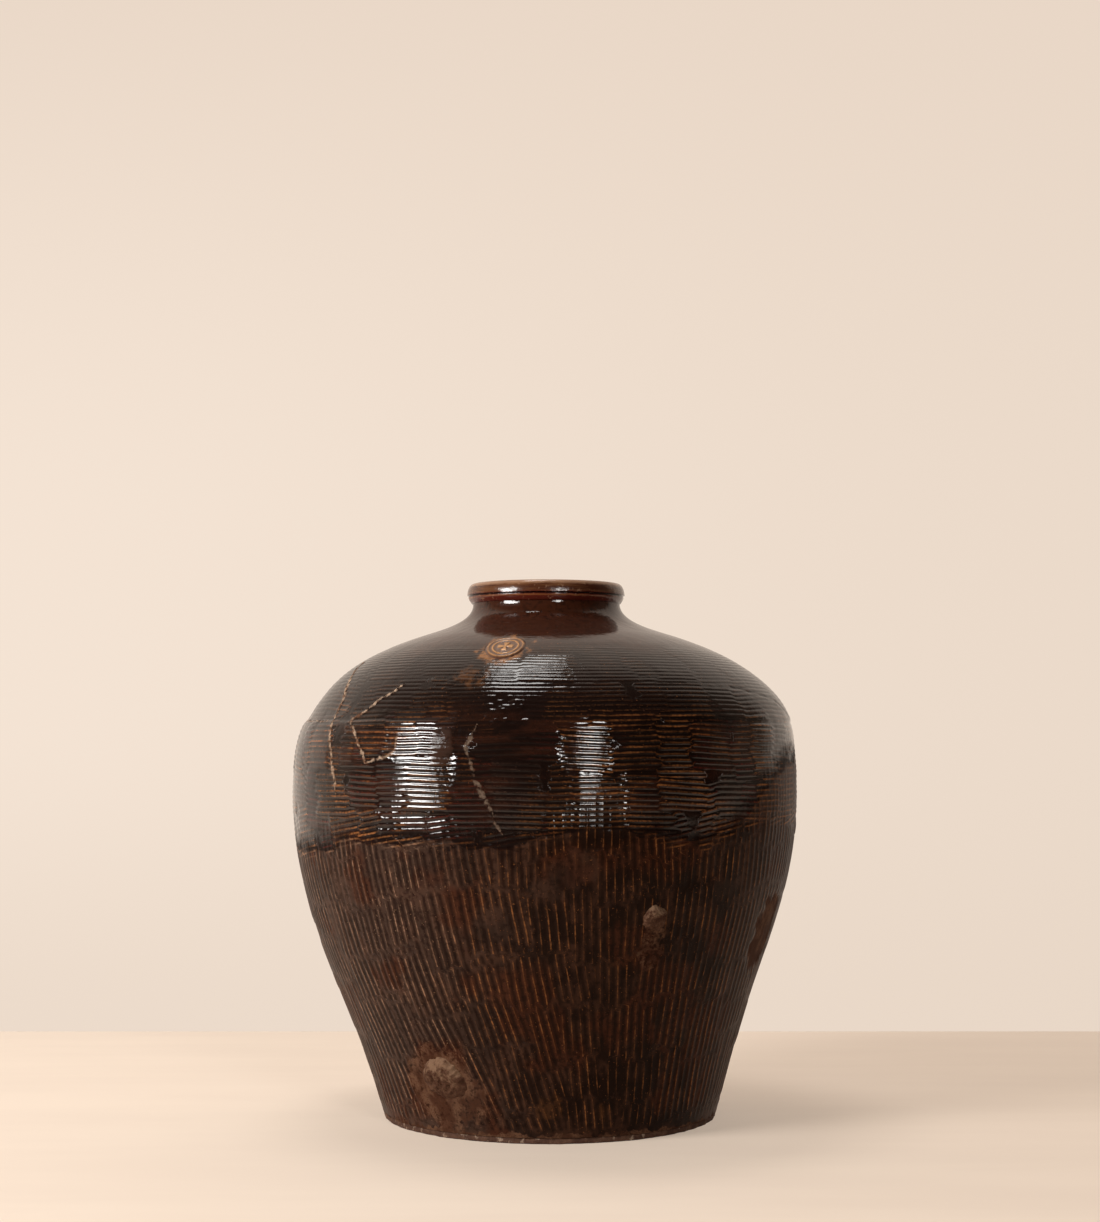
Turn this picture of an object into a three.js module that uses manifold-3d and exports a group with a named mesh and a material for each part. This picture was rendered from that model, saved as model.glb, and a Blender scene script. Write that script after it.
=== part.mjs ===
// A brown-glazed stoneware storage jar with a paddled wall, in millimetres.
// It stands on z = 0 round the z axis, with its front towards -y.
// The potter's sections are separate solids: a foot slab, a ribbed lower wall, a ridged belly ring,
// a shoulder dome, a neck collar and a rolled lip. A stamped clay tablet sits on the shoulder, and two
// wads of kiln clay are stuck to the lower wall.

import * as THREE from "three";
import { mergeVertices } from "three/addons/utils/BufferGeometryUtils.js";
import Module from "manifold-3d";

const wasm = await Module();
wasm.setup();

// Outside shape, from the ground up; a rise is counted from the line below it
const FOOT_RADIUS = 148; // where the wall meets the slab's edge
const FOOT_EDGE = 5; // height of the slab's edge under the wall
const FOOT_UNDERCUT = 2.5; // how much smaller the slab is where it touches the ground
const FOOT_FLARE = 0.265; // outward run of the wall for each millimetre up, at the foot
const BELLY_RADIUS = 225;
const BELLY_RISE = 282;
const SHOULDER_INSET = 6.3; // the shoulder seam's radius is this much under the belly's
const SHOULDER_RISE = 57;
const SHOULDER_LEAN = 0.43; // inward run for each millimetre up, at the shoulder seam
const CROWN_RADIUS = 111; // where the dome turns into the neck's hollow curve
const CROWN_RISE = 80.5;
const CROWN_LEAN = 3.16;
const NECK_RADIUS = 66.4; // the waist under the lip
const NECK_RISE = 28;

// Rolled lip
const LIP_OVERHANG = 4.5; // how far it stands out past the waist
const LIP_WIDTH = 15.9; // from its outer to its inner edge
const LIP_RISE = 18.5; // from the waist to the flat
const LIP_ROLL_HEIGHT = 10.5; // from the widest line to the flat
const LIP_LAND = 4; // width of the worn flat on top

// Fullness of each curve: the tangent's reach at its lower and upper end, against the chord
const WALL_FULLNESS = [0.405, 0.34];
const BELLY_FULLNESS = [0.275, 0.2];
const DOME_FULLNESS = [0.312, 0.46];
const COLLAR_FULLNESS = [0.33, 0.295];

// Walls and seams
const FOOT_WALL = 14;
const BODY_WALL = 10;
const SLAB_THICKNESS = 16;
const SEAM_GAP = 0.35; // luting line between two sections
const GIRTH_SEAM_DROP = 41; // lower wall to belly ring, under the belly's widest line
const NECK_SEAM_RISE = 6.5; // dome to collar, above the crown's line

// Paddle marks
const RIDGE_PITCH = 5.4; // ridges that run round the belly and the shoulder
const RIDGE_DEPTH = 1;
const SHOULDER_RIDGE_SPAN = 50; // how far up the dome they reach, along its surface
const RIB_PITCH = 8.8; // upright ribs of the lower wall, at the foot
const RIB_DEPTH = 0.9;

// The sections weren't thrown dead centre: sideways drift of the jar's axis
const FOOT_DRIFT = 4.5;
const FOOT_DRIFT_REACH = 160; // above this height the lower wall is true
const DOME_DRIFT = 4;
const DOME_DRIFT_REACH = 30; // to each side of the shoulder seam
const LIP_DRIFT = 1.1;

// Stamped tablet on the shoulder
const TABLET_WIDTH = 34;
const TABLET_LENGTH = 46;
const TABLET_THICKNESS = 1.6;
const TABLET_RIM = 3; // width of each raised border
const TABLET_RELIEF = 0.9;
const TABLET_CUT = 11.5; // how far the posts that cut it reach into and out of the wall
const TABLET_RADIUS = 151; // distance of its middle from the jar's axis
const TABLET_TURN = -13.5; // degrees from the front, towards +x

// Kiln wads stuck to the lower wall: half sizes, height of the middle and degrees from the front
const LOW_WAD = { across: 21, up: 16, out: 7, height: 52, turn: -30.5 };
const HIGH_WAD = { across: 13, up: 14, out: 5.5, height: 185, turn: 25.5 };
const STUCK_GAP = 0.45; // between a stuck piece and the wall

// Fineness
const TURNS = 40; // facets round the jar
const DOME_STEP = 16; // length of a facet up the dome
const WALL_STEP = 40; // the same up the lower wall, which is nearly straight
const INSIDE_STEP = 26; // the same up the inside of the belly and the dome
const COLLAR_STEP = 9;
const LIP_STEPS = 2;
const OVAL_STEPS = 9;

const FOOT_TOP = FOOT_EDGE + SEAM_GAP;
const BELLY_HEIGHT = FOOT_EDGE + BELLY_RISE;
const SHOULDER_HEIGHT = BELLY_HEIGHT + SHOULDER_RISE;
const CROWN_HEIGHT = SHOULDER_HEIGHT + CROWN_RISE;
const NECK_HEIGHT = CROWN_HEIGHT + NECK_RISE;
const LIP_HEIGHT = NECK_HEIGHT + LIP_RISE;

const clay = (color, roughness) => new THREE.MeshStandardMaterial({ color, roughness, metalness: 0 });
const upperGlaze = clay(0x1e0f0a, 0.12);
const lowerGlaze = clay(0x371d11, 0.38);
const lipGlaze = clay(0x5a2d18, 0.15);
const sealGlaze = clay(0xa86a30, 0.3);
const bareClay = clay(0x5a4030, 0.9);
const wadClay = clay(0x6a4a36, 0.85);

const point = (radius, height) => new THREE.Vector2(radius, height);

// One curve of the outline, leaving `from` and arriving at `to` along two slopes (run per rise)
function outlineCurve(from, fromSlope, to, toSlope, [lowerFullness, upperFullness]) {
  const chord = from.distanceTo(to);
  const reach = (slope, length) => point(slope, 1).normalize().multiplyScalar(length);
  return new THREE.CubicBezierCurve(
    from,
    from.clone().add(reach(fromSlope, chord * lowerFullness)),
    to.clone().sub(reach(toSlope, chord * upperFullness)),
    to,
  );
}

// Half of the jar's outside, from the slab's edge up to the waist under the lip
function jarOutline() {
  const foot = point(FOOT_RADIUS, FOOT_TOP);
  const belly = point(BELLY_RADIUS, BELLY_HEIGHT);
  const shoulder = point(BELLY_RADIUS - SHOULDER_INSET, SHOULDER_HEIGHT);
  const crown = point(CROWN_RADIUS, CROWN_HEIGHT);
  const waist = point(NECK_RADIUS, NECK_HEIGHT);
  const path = new THREE.CurvePath();
  path.add(outlineCurve(foot, FOOT_FLARE, belly, 0, WALL_FULLNESS));
  path.add(outlineCurve(belly, 0, shoulder, -SHOULDER_LEAN, BELLY_FULLNESS));
  path.add(outlineCurve(shoulder, -SHOULDER_LEAN, crown, -CROWN_LEAN, DOME_FULLNESS));
  path.add(outlineCurve(crown, -CROWN_LEAN, waist, 0, COLLAR_FULLNESS));
  return path;
}

const outline = jarOutline();
const OUTLINE_LENGTH = outline.getLength();

// The outside at a length s along the outline, moved out along its own normal
function outsideAt(s, offset = 0) {
  const share = THREE.MathUtils.clamp(s / OUTLINE_LENGTH, 0, 1);
  const along = outline.getTangent(share);
  return outline.getPoint(share).add(point(along.y, -along.x).multiplyScalar(offset));
}

// The wall thins from the foot up to the belly
function insideAt(s, clearance = 0) {
  const thinning = THREE.MathUtils.smoothstep(s, 0, bellyLine);
  return outsideAt(s, -THREE.MathUtils.lerp(FOOT_WALL, BODY_WALL, thinning) - clearance);
}

// The length along the outline at which a test on the place there stops holding
function lengthWhere(holds, pointAt = outsideAt) {
  let [low, high] = [0, OUTLINE_LENGTH];
  for (let step = 0; step < 40; step += 1) {
    const middle = (low + high) / 2;
    if (holds(pointAt(middle), middle)) low = middle;
    else high = middle;
  }
  return (low + high) / 2;
}

const lengthAtHeight = (height, pointAt) => lengthWhere((place) => place.y < height, pointAt);

const bellyLine = lengthAtHeight(BELLY_HEIGHT);
const girthSeam = lengthAtHeight(BELLY_HEIGHT - GIRTH_SEAM_DROP);
const shoulderSeam = lengthAtHeight(SHOULDER_HEIGHT);
const neckSeam = lengthAtHeight(CROWN_HEIGHT + NECK_SEAM_RISE);

// Evenly spaced values, both ends included
function spread(from, to, count) {
  return Array.from({ length: count + 1 }, (_, index) => from + ((to - from) * index) / count);
}

// A smooth stretch of some face of the wall
function smoothStretch(from, to, pointAt, step) {
  const count = Math.max(2, Math.round(Math.abs(to - from) / step));
  return spread(from, to, count).map((s) => pointAt(s));
}

// A stretch of the outside with ridges running round it: crest, hollow, crest and so on
function ridgedStretch(from, to) {
  const count = 2 * Math.max(1, Math.round((to - from) / RIDGE_PITCH));
  return spread(from, to, count).map((s, index) => outsideAt(s, index % 2 ? -RIDGE_DEPTH : 0));
}

// Revolves a profile of (radius, height) points, listed anticlockwise, round the z axis
function revolve(profile, turns = TURNS) {
  const closed = profile[0].x > 0 ? [...profile, profile[0].clone()] : profile;
  return new THREE.LatheGeometry(closed, turns).rotateX(Math.PI / 2);
}

// A closed geometry as a solid that can be joined and cut
function solidOf(geometry) {
  const bare = new THREE.BufferGeometry();
  bare.setAttribute("position", geometry.getAttribute("position"));
  bare.setIndex(geometry.index);
  const merged = mergeVertices(bare, 1e-3);
  const corners = merged.index.array;
  const triVerts = [];
  for (let i = 0; i < corners.length; i += 3) {
    const [a, b, c] = corners.slice(i, i + 3);
    if (a !== b && b !== c && c !== a) triVerts.push(a, b, c);
  }
  return new wasm.Manifold(new wasm.Mesh({
    numProp: 3,
    vertProperties: merged.attributes.position.array,
    triVerts: new Uint32Array(triVerts),
  }));
}

function geometryOf(solid) {
  const { vertProperties, triVerts } = solid.getMesh();
  const geometry = new THREE.BufferGeometry();
  geometry.setAttribute("position", new THREE.BufferAttribute(vertProperties, 3));
  geometry.setIndex(new THREE.BufferAttribute(triVerts, 1));
  return geometry;
}

// How far the jar's axis has wandered towards +x at some height
function driftAt(height) {
  const { smoothstep } = THREE.MathUtils;
  const domeStart = SHOULDER_HEIGHT - DOME_DRIFT_REACH;
  const domeEnd = SHOULDER_HEIGHT + DOME_DRIFT_REACH;
  const foot = FOOT_DRIFT * (1 - smoothstep(height, 0, FOOT_DRIFT_REACH));
  const dome = DOME_DRIFT * smoothstep(height, domeStart, domeEnd);
  const lip = (LIP_DRIFT - DOME_DRIFT) * smoothstep(height, domeEnd, LIP_HEIGHT);
  return foot + dome + lip;
}

// The finished piece: drifted with the rest of the jar, named and glazed
function piece(name, geometry, material) {
  const position = geometry.getAttribute("position");
  for (let i = 0; i < position.count; i += 1) {
    position.setX(i, position.getX(i) + driftAt(position.getZ(i)));
  }
  geometry.computeVertexNormals();
  const mesh = new THREE.Mesh(geometry, material);
  mesh.name = name;
  return mesh;
}

// Round slab that closes the jar; the wall stands on its slanting edge, round its raised middle
function footSlab() {
  const plugTop = lengthAtHeight(SLAB_THICKNESS, insideAt);
  const seat = [outsideAt(0), insideAt(0, SEAM_GAP)].map((place) => place.sub(point(0, SEAM_GAP)));
  const plug = smoothStretch(0, plugTop, (s) => insideAt(s, SEAM_GAP), WALL_STEP).slice(1);
  const profile = [
    point(0, 0),
    point(FOOT_RADIUS - FOOT_UNDERCUT, 0),
    ...seat,
    ...plug,
    point(0, plug.at(-1).y),
  ];
  return piece("foot_slab", revolve(profile), bareClay);
}

// Lower wall: upright ribs outside, as every other column of its outside is sunk, and smooth inside
function lowerWall() {
  const columns = 2 * Math.round((2 * Math.PI * FOOT_RADIUS) / RIB_PITCH);
  const outside = smoothStretch(0, girthSeam, outsideAt, WALL_STEP);
  const profile = [...outside, ...smoothStretch(girthSeam, 0, insideAt, 2 * WALL_STEP)];
  const wall = revolve(profile, columns);
  const position = wall.getAttribute("position");
  const rows = profile.length + 1; // the profile is closed by its first point again
  for (let index = 0; index < position.count; index += 1) {
    const row = index % rows;
    const isOutside = row < outside.length || row === rows - 1;
    const isHollow = Math.floor(index / rows) % 2 === 1;
    if (isOutside && isHollow) {
      const radius = outside[row % profile.length].x;
      const sunk = (radius - RIB_DEPTH) / radius;
      position.setX(index, position.getX(index) * sunk);
      position.setY(index, position.getY(index) * sunk);
    }
  }
  return piece("lower_wall", wall, lowerGlaze);
}

// Belly ring, ridged from the girth seam to the shoulder seam
function bellyWall() {
  const from = girthSeam + SEAM_GAP;
  const profile = [
    ...ridgedStretch(from, shoulderSeam),
    ...smoothStretch(shoulderSeam, from, insideAt, INSIDE_STEP),
  ];
  return piece("belly_wall", revolve(profile), upperGlaze);
}

// Shoulder dome, ridged near its seam and smooth towards the neck
function shoulderDome() {
  const from = shoulderSeam + SEAM_GAP;
  const ridgeEnd = from + SHOULDER_RIDGE_SPAN;
  const profile = [
    ...ridgedStretch(from, ridgeEnd),
    ...smoothStretch(ridgeEnd, neckSeam, outsideAt, DOME_STEP).slice(1),
    ...smoothStretch(neckSeam, from, insideAt, INSIDE_STEP),
  ];
  return piece("shoulder_dome", revolve(profile), upperGlaze);
}

// Collar: the hollow curve from the dome up to the waist under the lip
function neckCollar() {
  const from = neckSeam + SEAM_GAP;
  const profile = [
    ...smoothStretch(from, OUTLINE_LENGTH, outsideAt, COLLAR_STEP),
    ...smoothStretch(OUTLINE_LENGTH, from, insideAt, COLLAR_STEP),
  ];
  return piece("neck_collar", revolve(profile), lipGlaze);
}

// Rolled lip: swells out from the waist, rounds over to a worn flat and rolls into the mouth
function rolledLip() {
  const seat = NECK_HEIGHT + SEAM_GAP;
  const outer = NECK_RADIUS + LIP_OVERHANG;
  const mouth = outer - LIP_WIDTH;
  const widest = LIP_HEIGHT - LIP_ROLL_HEIGHT;
  const roll = (LIP_WIDTH - LIP_LAND) / 2;
  const swell = (widest - seat) / 2;
  const lip = new THREE.Path();
  lip.moveTo(NECK_RADIUS, seat);
  lip.bezierCurveTo(NECK_RADIUS, seat + swell, outer, widest - swell, outer, widest);
  lip.absellipse(outer - roll, widest, roll, LIP_ROLL_HEIGHT, 0, Math.PI / 2);
  lip.absellipse(mouth + roll, widest, roll, LIP_ROLL_HEIGHT, Math.PI / 2, Math.PI);
  lip.lineTo(NECK_RADIUS - BODY_WALL, seat);
  return piece("rolled_lip", revolve(lip.getPoints(LIP_STEPS)), lipGlaze);
}

// Everything inside the outline moved out by some offset, between two lengths along it
function envelope(offset, from, to, turns) {
  const skin = smoothStretch(from, to, (s) => outsideAt(s, offset), DOME_STEP / 2);
  return solidOf(revolve([point(0, skin[0].y), ...skin, point(0, skin.at(-1).y)], turns));
}

// An oval post through the shoulder, square to its surface
function ovalPost(width, length, s) {
  const oval = new THREE.Shape().absellipse(0, 0, width / 2, length / 2, 0, 2 * Math.PI);
  const post = new THREE.ExtrudeGeometry(oval, {
    depth: 2 * TABLET_CUT,
    bevelEnabled: false,
    curveSegments: OVAL_STEPS,
  });
  const foot = outsideAt(s);
  const along = outline.getTangent(s / OUTLINE_LENGTH);
  post.translate(0, 0, -TABLET_CUT);
  post.rotateX(Math.atan2(along.y, -along.x));
  post.translate(0, -foot.x, foot.y);
  post.rotateZ(THREE.MathUtils.degToRad(TABLET_TURN));
  return solidOf(post);
}

// Stamped tablet: an oval pad with two raised borders and a raised middle
function sealTablet() {
  const s = lengthWhere((place, length) => length < shoulderSeam || place.x > TABLET_RADIUS);
  const layer = (offset) => envelope(STUCK_GAP + offset, s - TABLET_LENGTH, s + TABLET_LENGTH, TURNS);
  const under = layer(0);
  const pad = layer(TABLET_THICKNESS).subtract(under);
  const raised = layer(TABLET_THICKNESS + TABLET_RELIEF).subtract(under);
  const inset = (rims) => ovalPost(
    TABLET_WIDTH - 2 * rims * TABLET_RIM, TABLET_LENGTH - 2 * rims * TABLET_RIM, s,
  );
  const borders = inset(0).subtract(inset(1)).add(inset(2).subtract(inset(3))).add(inset(4));
  const tablet = pad.intersect(inset(0)).add(raised.intersect(borders));
  return piece("seal_tablet", geometryOf(tablet), sealGlaze);
}

// A lump of kiln clay, fused to the wall where a prop or a neighbour touched the jar
function kilnWad(name, wad) {
  const s = lengthAtHeight(wad.height);
  const place = outsideAt(s);
  const along = outline.getTangent(s / OUTLINE_LENGTH);
  const lump = new THREE.SphereGeometry(1, 16, 10).scale(wad.across, wad.out + STUCK_GAP, wad.up);
  lump.rotateX(-Math.atan2(along.x, along.y));
  lump.translate(0, -place.x, place.y);
  lump.rotateZ(THREE.MathUtils.degToRad(wad.turn));
  const [from, to] = [Math.max(0, s - 2 * wad.up), s + 2 * wad.up];
  const wall = envelope(STUCK_GAP, from, to, 3 * TURNS);
  return piece(name, geometryOf(solidOf(lump).subtract(wall)), wadClay);
}

const jar = new THREE.Group();
jar.add(
  footSlab(),
  lowerWall(),
  bellyWall(),
  shoulderDome(),
  neckCollar(),
  rolledLip(),
  sealTablet(),
  kilnWad("low_kiln_wad", LOW_WAD),
  kilnWad("high_kiln_wad", HIGH_WAD),
);

export default jar;
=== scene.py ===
"""Looks of a brown-glazed stoneware storage jar, built round its CAD frame.

The wall sections are turned from their profiles and then beaten: every paddle blow leaves its own patch
of ribs or ridges. Each wall keeps the grooves of its blows, the share of gloss glaze and the painted
colours as attributes, and the glaze draws its crisp lines from them.
"""

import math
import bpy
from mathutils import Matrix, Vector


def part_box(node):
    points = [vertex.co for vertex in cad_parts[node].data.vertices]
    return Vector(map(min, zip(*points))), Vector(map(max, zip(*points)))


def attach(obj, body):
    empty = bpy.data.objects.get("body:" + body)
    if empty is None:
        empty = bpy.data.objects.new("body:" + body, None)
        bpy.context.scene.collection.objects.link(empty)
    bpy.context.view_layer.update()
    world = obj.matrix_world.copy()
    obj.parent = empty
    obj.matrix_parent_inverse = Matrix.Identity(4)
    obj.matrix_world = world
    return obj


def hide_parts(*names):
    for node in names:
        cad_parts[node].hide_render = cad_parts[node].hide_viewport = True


bl_info = {
    "name": "Paddled stoneware jar",
    "version": (1, 0, 0),
    "blender": (4, 5, 0),
    "location": "3D View > Sidebar > Jar",
    "description": "Turns, beats and glazes a stoneware storage jar round its CAD frame",
    "category": "Add Mesh",
}

from contextlib import contextmanager

import bpy
import numpy as np
from bpy.props import FloatProperty, FloatVectorProperty, IntProperty, PointerProperty
from mathutils import Vector

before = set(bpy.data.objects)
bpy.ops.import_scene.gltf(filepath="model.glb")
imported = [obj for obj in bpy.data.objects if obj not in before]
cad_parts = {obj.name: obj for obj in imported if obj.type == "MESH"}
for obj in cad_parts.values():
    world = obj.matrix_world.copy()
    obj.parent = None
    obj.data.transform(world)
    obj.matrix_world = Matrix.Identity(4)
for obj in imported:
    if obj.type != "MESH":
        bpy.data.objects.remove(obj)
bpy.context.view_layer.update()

MM = 0.001
TAU = 2 * math.pi

# The jar's outline in millimetres, as in the CAD part
SLAB_EDGE = 5.0
SLAB_THICKNESS = 16.0
FOOT_WALL = 14.0
FOOT_FLARE = 0.265
SHOULDER_LEAN = 0.43
CROWN_LEAN = 3.16
WALL_FULLNESS = (0.405, 0.34)
BELLY_FULLNESS = (0.275, 0.2)
DOME_FULLNESS = (0.312, 0.46)
COLLAR_FULLNESS = (0.33, 0.295)
GIRTH_SEAM = 246.0
NECK_SEAM = 431.0
RIDGED_DOME = 96.0  # length up from the shoulder seam that has ridges
BASE_SINK = 3.0  # the turned shell lies this far inside the outline, and the relief brings it out
RELIEF_REACH = 6.0  # from the turned shell to the highest relief

# Where each section wanders off the belly's axis, towards +x
FOOT_DRIFT = 4.5
FOOT_DRIFT_REACH = 160.0
DOME_DRIFT = 4.0
DOME_DRIFT_REACH = 30.0
LIP_DRIFT = 1.1


def millimetres(value):
    return round(value / MM, 3)


def measure(name, description, default):
    """A length of the panel, in metres"""
    return FloatProperty(name=name, description=description, unit="LENGTH", default=default)


def swatch(name, description, red, green, blue):
    """A colour of the panel"""
    return FloatVectorProperty(
        name=name, description=description, subtype="COLOR", size=4, default=(red, green, blue, 1),
    )


BELLY_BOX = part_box("belly_wall")
LIP_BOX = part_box("rolled_lip")
FOOT_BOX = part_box("foot_slab")


class JarShape(bpy.types.PropertyGroup):
    """Sizes of the jar's outline"""

    foot_radius: measure(
        "Foot radius", "Radius where the wall meets the slab", (FOOT_BOX[1].x - FOOT_BOX[0].x) / 2)
    belly_radius: measure(
        "Belly radius", "Widest radius of the jar", (BELLY_BOX[1].x - BELLY_BOX[0].x) / 2)
    belly_height: measure("Belly height", "Height of the widest line", 0.287)
    shoulder_radius: measure("Shoulder radius", "Radius at the shoulder seam", 0.2187)
    shoulder_height: measure("Shoulder height", "Height of the shoulder seam", BELLY_BOX[1].z)
    crown_radius: measure("Crown radius", "Radius where the dome turns into the neck", 0.111)
    crown_height: measure("Crown height", "Height where the dome turns into the neck", 0.4245)
    neck_radius: measure("Neck radius", "Radius of the waist under the lip", 0.0664)
    neck_height: measure("Neck height", "Height of the waist under the lip", LIP_BOX[0].z)
    wall: measure("Wall", "Thickness of the clay wall", 0.010)
    columns: IntProperty(
        name="Columns", description="Mesh columns round the jar", default=900, min=64,
    )


class PaddleMarks(bpy.types.PropertyGroup):
    """Sizes of the marks that the potter's paddles left"""

    rib_pitch: measure("Rib pitch", "Distance between upright ribs", 0.0070)
    rib_depth: measure("Rib depth", "Height of the upright ribs", 0.00045)
    ridge_pitch: measure("Ridge pitch", "Distance between level ridges", 0.0045)
    ridge_depth: measure("Ridge depth", "Height of the level ridges", 0.00032)


class GlazeColours(bpy.types.PropertyGroup):
    """Colours of the fired glaze and of the bare clay"""

    pool: swatch("Pool", "Thick glaze, nearly black", 0.0050, 0.0015, 0.0009)
    thin: swatch("Thin", "Red-brown glaze where it thins", 0.050, 0.013, 0.005)
    ruby: swatch("Ruby", "Dark red glaze on some crests", 0.075, 0.011, 0.006)
    crest: swatch("Crest", "Amber glaze on the sharpest crests", 0.26, 0.093, 0.027)
    # Also painted along the top of the lip as a pale reflection
    tan: swatch("Tan", "Dull tan of the worn ribs", 0.33, 0.180, 0.105)
    deep: swatch("Deep", "Darkest slip glaze of the lower wall", 0.0090, 0.0030, 0.0015)
    satin: swatch("Satin", "Purple-brown slip glaze of the lower wall", 0.048, 0.0190, 0.0100)
    lip: swatch("Lip", "Caramel glaze of the lip", 0.115, 0.045, 0.019)
    ochre: swatch("Ochre", "Thin glaze on the tablet", 0.44, 0.205, 0.066)
    grey: swatch("Grey", "Smooth grey-brown patches", 0.066, 0.036, 0.025)
    clay: swatch("Clay", "Bare fired clay", 0.115, 0.055, 0.031)
    scar: swatch("Scar", "Darker clay in scars", 0.055, 0.022, 0.012)
    # Also the painted light on the upper side of the kiln wads
    wad: swatch("Wad", "Pinkish grey kiln clay", 0.185, 0.105, 0.062)
    chalk: swatch("Chalk", "Grey-brown crust of the chalky run", 0.130, 0.088, 0.062)
    pale: swatch("Pale", "Cream clay in raised cracks", 0.36, 0.25, 0.175)


# Noise on the wall


def ease(value):
    """Smooth step from 0 at 0 to 1 at 1"""
    value = np.clip(value, 0.0, 1.0)
    return value * value * (3.0 - 2.0 * value)


def ramp(value, low, high):
    return ease((value - low) / (high - low))


def wall_noise(turn, rise, cell_turn, cell_rise, seed):
    """Smooth noise from 0 to 1 that closes round the jar; a cell's size is in degrees and millimetres"""
    cells = max(3, round(360.0 / cell_turn))
    across = (turn / TAU % 1.0) * cells
    up = rise / cell_rise + 64.0
    left = np.floor(across).astype(int)
    low = np.floor(up).astype(int)
    knots = np.random.default_rng(seed).random((int(low.max()) + 2, cells))
    along = ease(across - left)
    above = ease(up - low)
    left, right = left % cells, (left + 1) % cells
    bottom = knots[low, left] * (1 - along) + knots[low, right] * along
    top = knots[low + 1, left] * (1 - along) + knots[low + 1, right] * along
    return bottom * (1 - above) + top * above


def clouds(turn, rise, cell_turn, cell_rise, seed, octaves=3):
    """Wall noise in several sizes, from 0 to 1"""
    total = np.zeros_like(turn)
    weight = 0.0
    for octave in range(octaves):
        share = 0.5**octave
        total += share * wall_noise(turn, rise, cell_turn * share, cell_rise * share, seed + octave)
        weight += share
    return total / weight


# The outline


def outline_points(shape):
    """Closely spaced (radius, height) points up the jar's outside, in millimetres"""
    knots = [
        ((millimetres(shape.foot_radius), SLAB_EDGE), FOOT_FLARE),
        ((millimetres(shape.belly_radius), millimetres(shape.belly_height)), 0.0),
        ((millimetres(shape.shoulder_radius), millimetres(shape.shoulder_height)), -SHOULDER_LEAN),
        ((millimetres(shape.crown_radius), millimetres(shape.crown_height)), -CROWN_LEAN),
        ((millimetres(shape.neck_radius), millimetres(shape.neck_height)), 0.0),
    ]
    fullness = [WALL_FULLNESS, BELLY_FULLNESS, DOME_FULLNESS, COLLAR_FULLNESS]
    share = np.linspace(0, 1, 400)[:, None]
    pieces = []
    for (low, low_slope), (high, high_slope), (low_full, high_full) in zip(knots, knots[1:], fullness):
        low, high = np.array(low), np.array(high)
        chord = np.linalg.norm(high - low)
        leave = low + chord * low_full * np.array([low_slope, 1.0]) / math.hypot(low_slope, 1.0)
        arrive = high - chord * high_full * np.array([high_slope, 1.0]) / math.hypot(high_slope, 1.0)
        pieces.append(
            (1 - share) ** 3 * low + 3 * (1 - share) ** 2 * share * leave
            + 3 * (1 - share) * share**2 * arrive + share**3 * high
        )
    return np.vstack([pieces[0]] + [piece[1:] for piece in pieces[1:]])


class Outline:
    """The jar's outside as a curve measured along its length, in millimetres"""

    def __init__(self, shape):
        points = outline_points(shape)
        steps = np.linalg.norm(np.diff(points, axis=0), axis=1)
        self.length = np.concatenate([[0.0], np.cumsum(steps)])
        self.radius, self.height = points.T
        self.total = self.length[-1]

    def at(self, length, offset=0.0):
        """(radius, height) at some length up the outline, moved out along the normal"""
        radius = np.interp(length, self.length, self.radius)
        height = np.interp(length, self.length, self.height)
        reach = 0.5
        run = np.interp(length + reach, self.length, self.radius) - np.interp(
            length - reach, self.length, self.radius)
        climb = np.interp(length + reach, self.length, self.height) - np.interp(
            length - reach, self.length, self.height)
        size = np.hypot(run, climb)
        return radius + offset * climb / size, height - offset * run / size

    def length_at(self, height):
        return np.interp(height, self.height, self.length)

    def height_at(self, length):
        return float(np.interp(length, self.length, self.height))


def drift_at(height):
    """How far the axis has wandered towards +x at some height, in millimetres"""
    shoulder = BELLY_BOX[1].z / MM
    top = LIP_BOX[1].z / MM
    foot = FOOT_DRIFT * (1 - ramp(height, 0.0, FOOT_DRIFT_REACH))
    dome = DOME_DRIFT * ramp(height, shoulder - DOME_DRIFT_REACH, shoulder + DOME_DRIFT_REACH)
    lip = (LIP_DRIFT - DOME_DRIFT) * ramp(height, shoulder + DOME_DRIFT_REACH, top)
    return foot + dome + lip


# Paddle blows


def wrapped(angle):
    """The same angle between minus half a turn and half a turn"""
    return (angle + math.pi) % TAU - math.pi


BLOW_SCATTER = 0.36  # of the distance to the next blow
BLOW_TILT = 1.6  # degrees
BLOW_SLANT = 0.010  # of each blow's flat, as a slope
UPRIGHT_PITCH_SPREAD = 1.0
LEVEL_PITCH_SPREAD = 0.3


class Paddle:
    """A paddle and how it is laid on the wall, in millimetres

    face is its (width, height), spacing and row_gap are from blow to blow and from row to row, and lean
    gives its tilt in degrees at a place. The grooves of a level paddle run round the jar.
    """

    def __init__(self, face, pitch, spacing, row_gap, lowest, highest, lean, level, lightest, end_cells):
        self.face = face
        self.pitch = pitch
        self.spacing = spacing
        self.rows = np.arange(lowest, highest, row_gap)
        self.lean = lean
        self.level = level
        self.lightest = lightest
        self.end_cells = end_cells


class Grooves:
    """What overlapping blows leave: the grooves' phase in turns, their force from 0 to 1, each blow's own
    flat in millimetres over the wall, and from 0 to 1 a shade for each blow and a glow for each groove
    """

    def __init__(self, count):
        self.phase = np.zeros(count)
        self.force = np.zeros(count)
        self.flat = np.zeros(count)
        self.shade = np.zeros(count)
        self.glow = np.zeros(count)

    def crest(self):
        """0 in the hollows and 1 on the crests"""
        return 0.5 + 0.5 * np.cos(TAU * self.phase)


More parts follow.
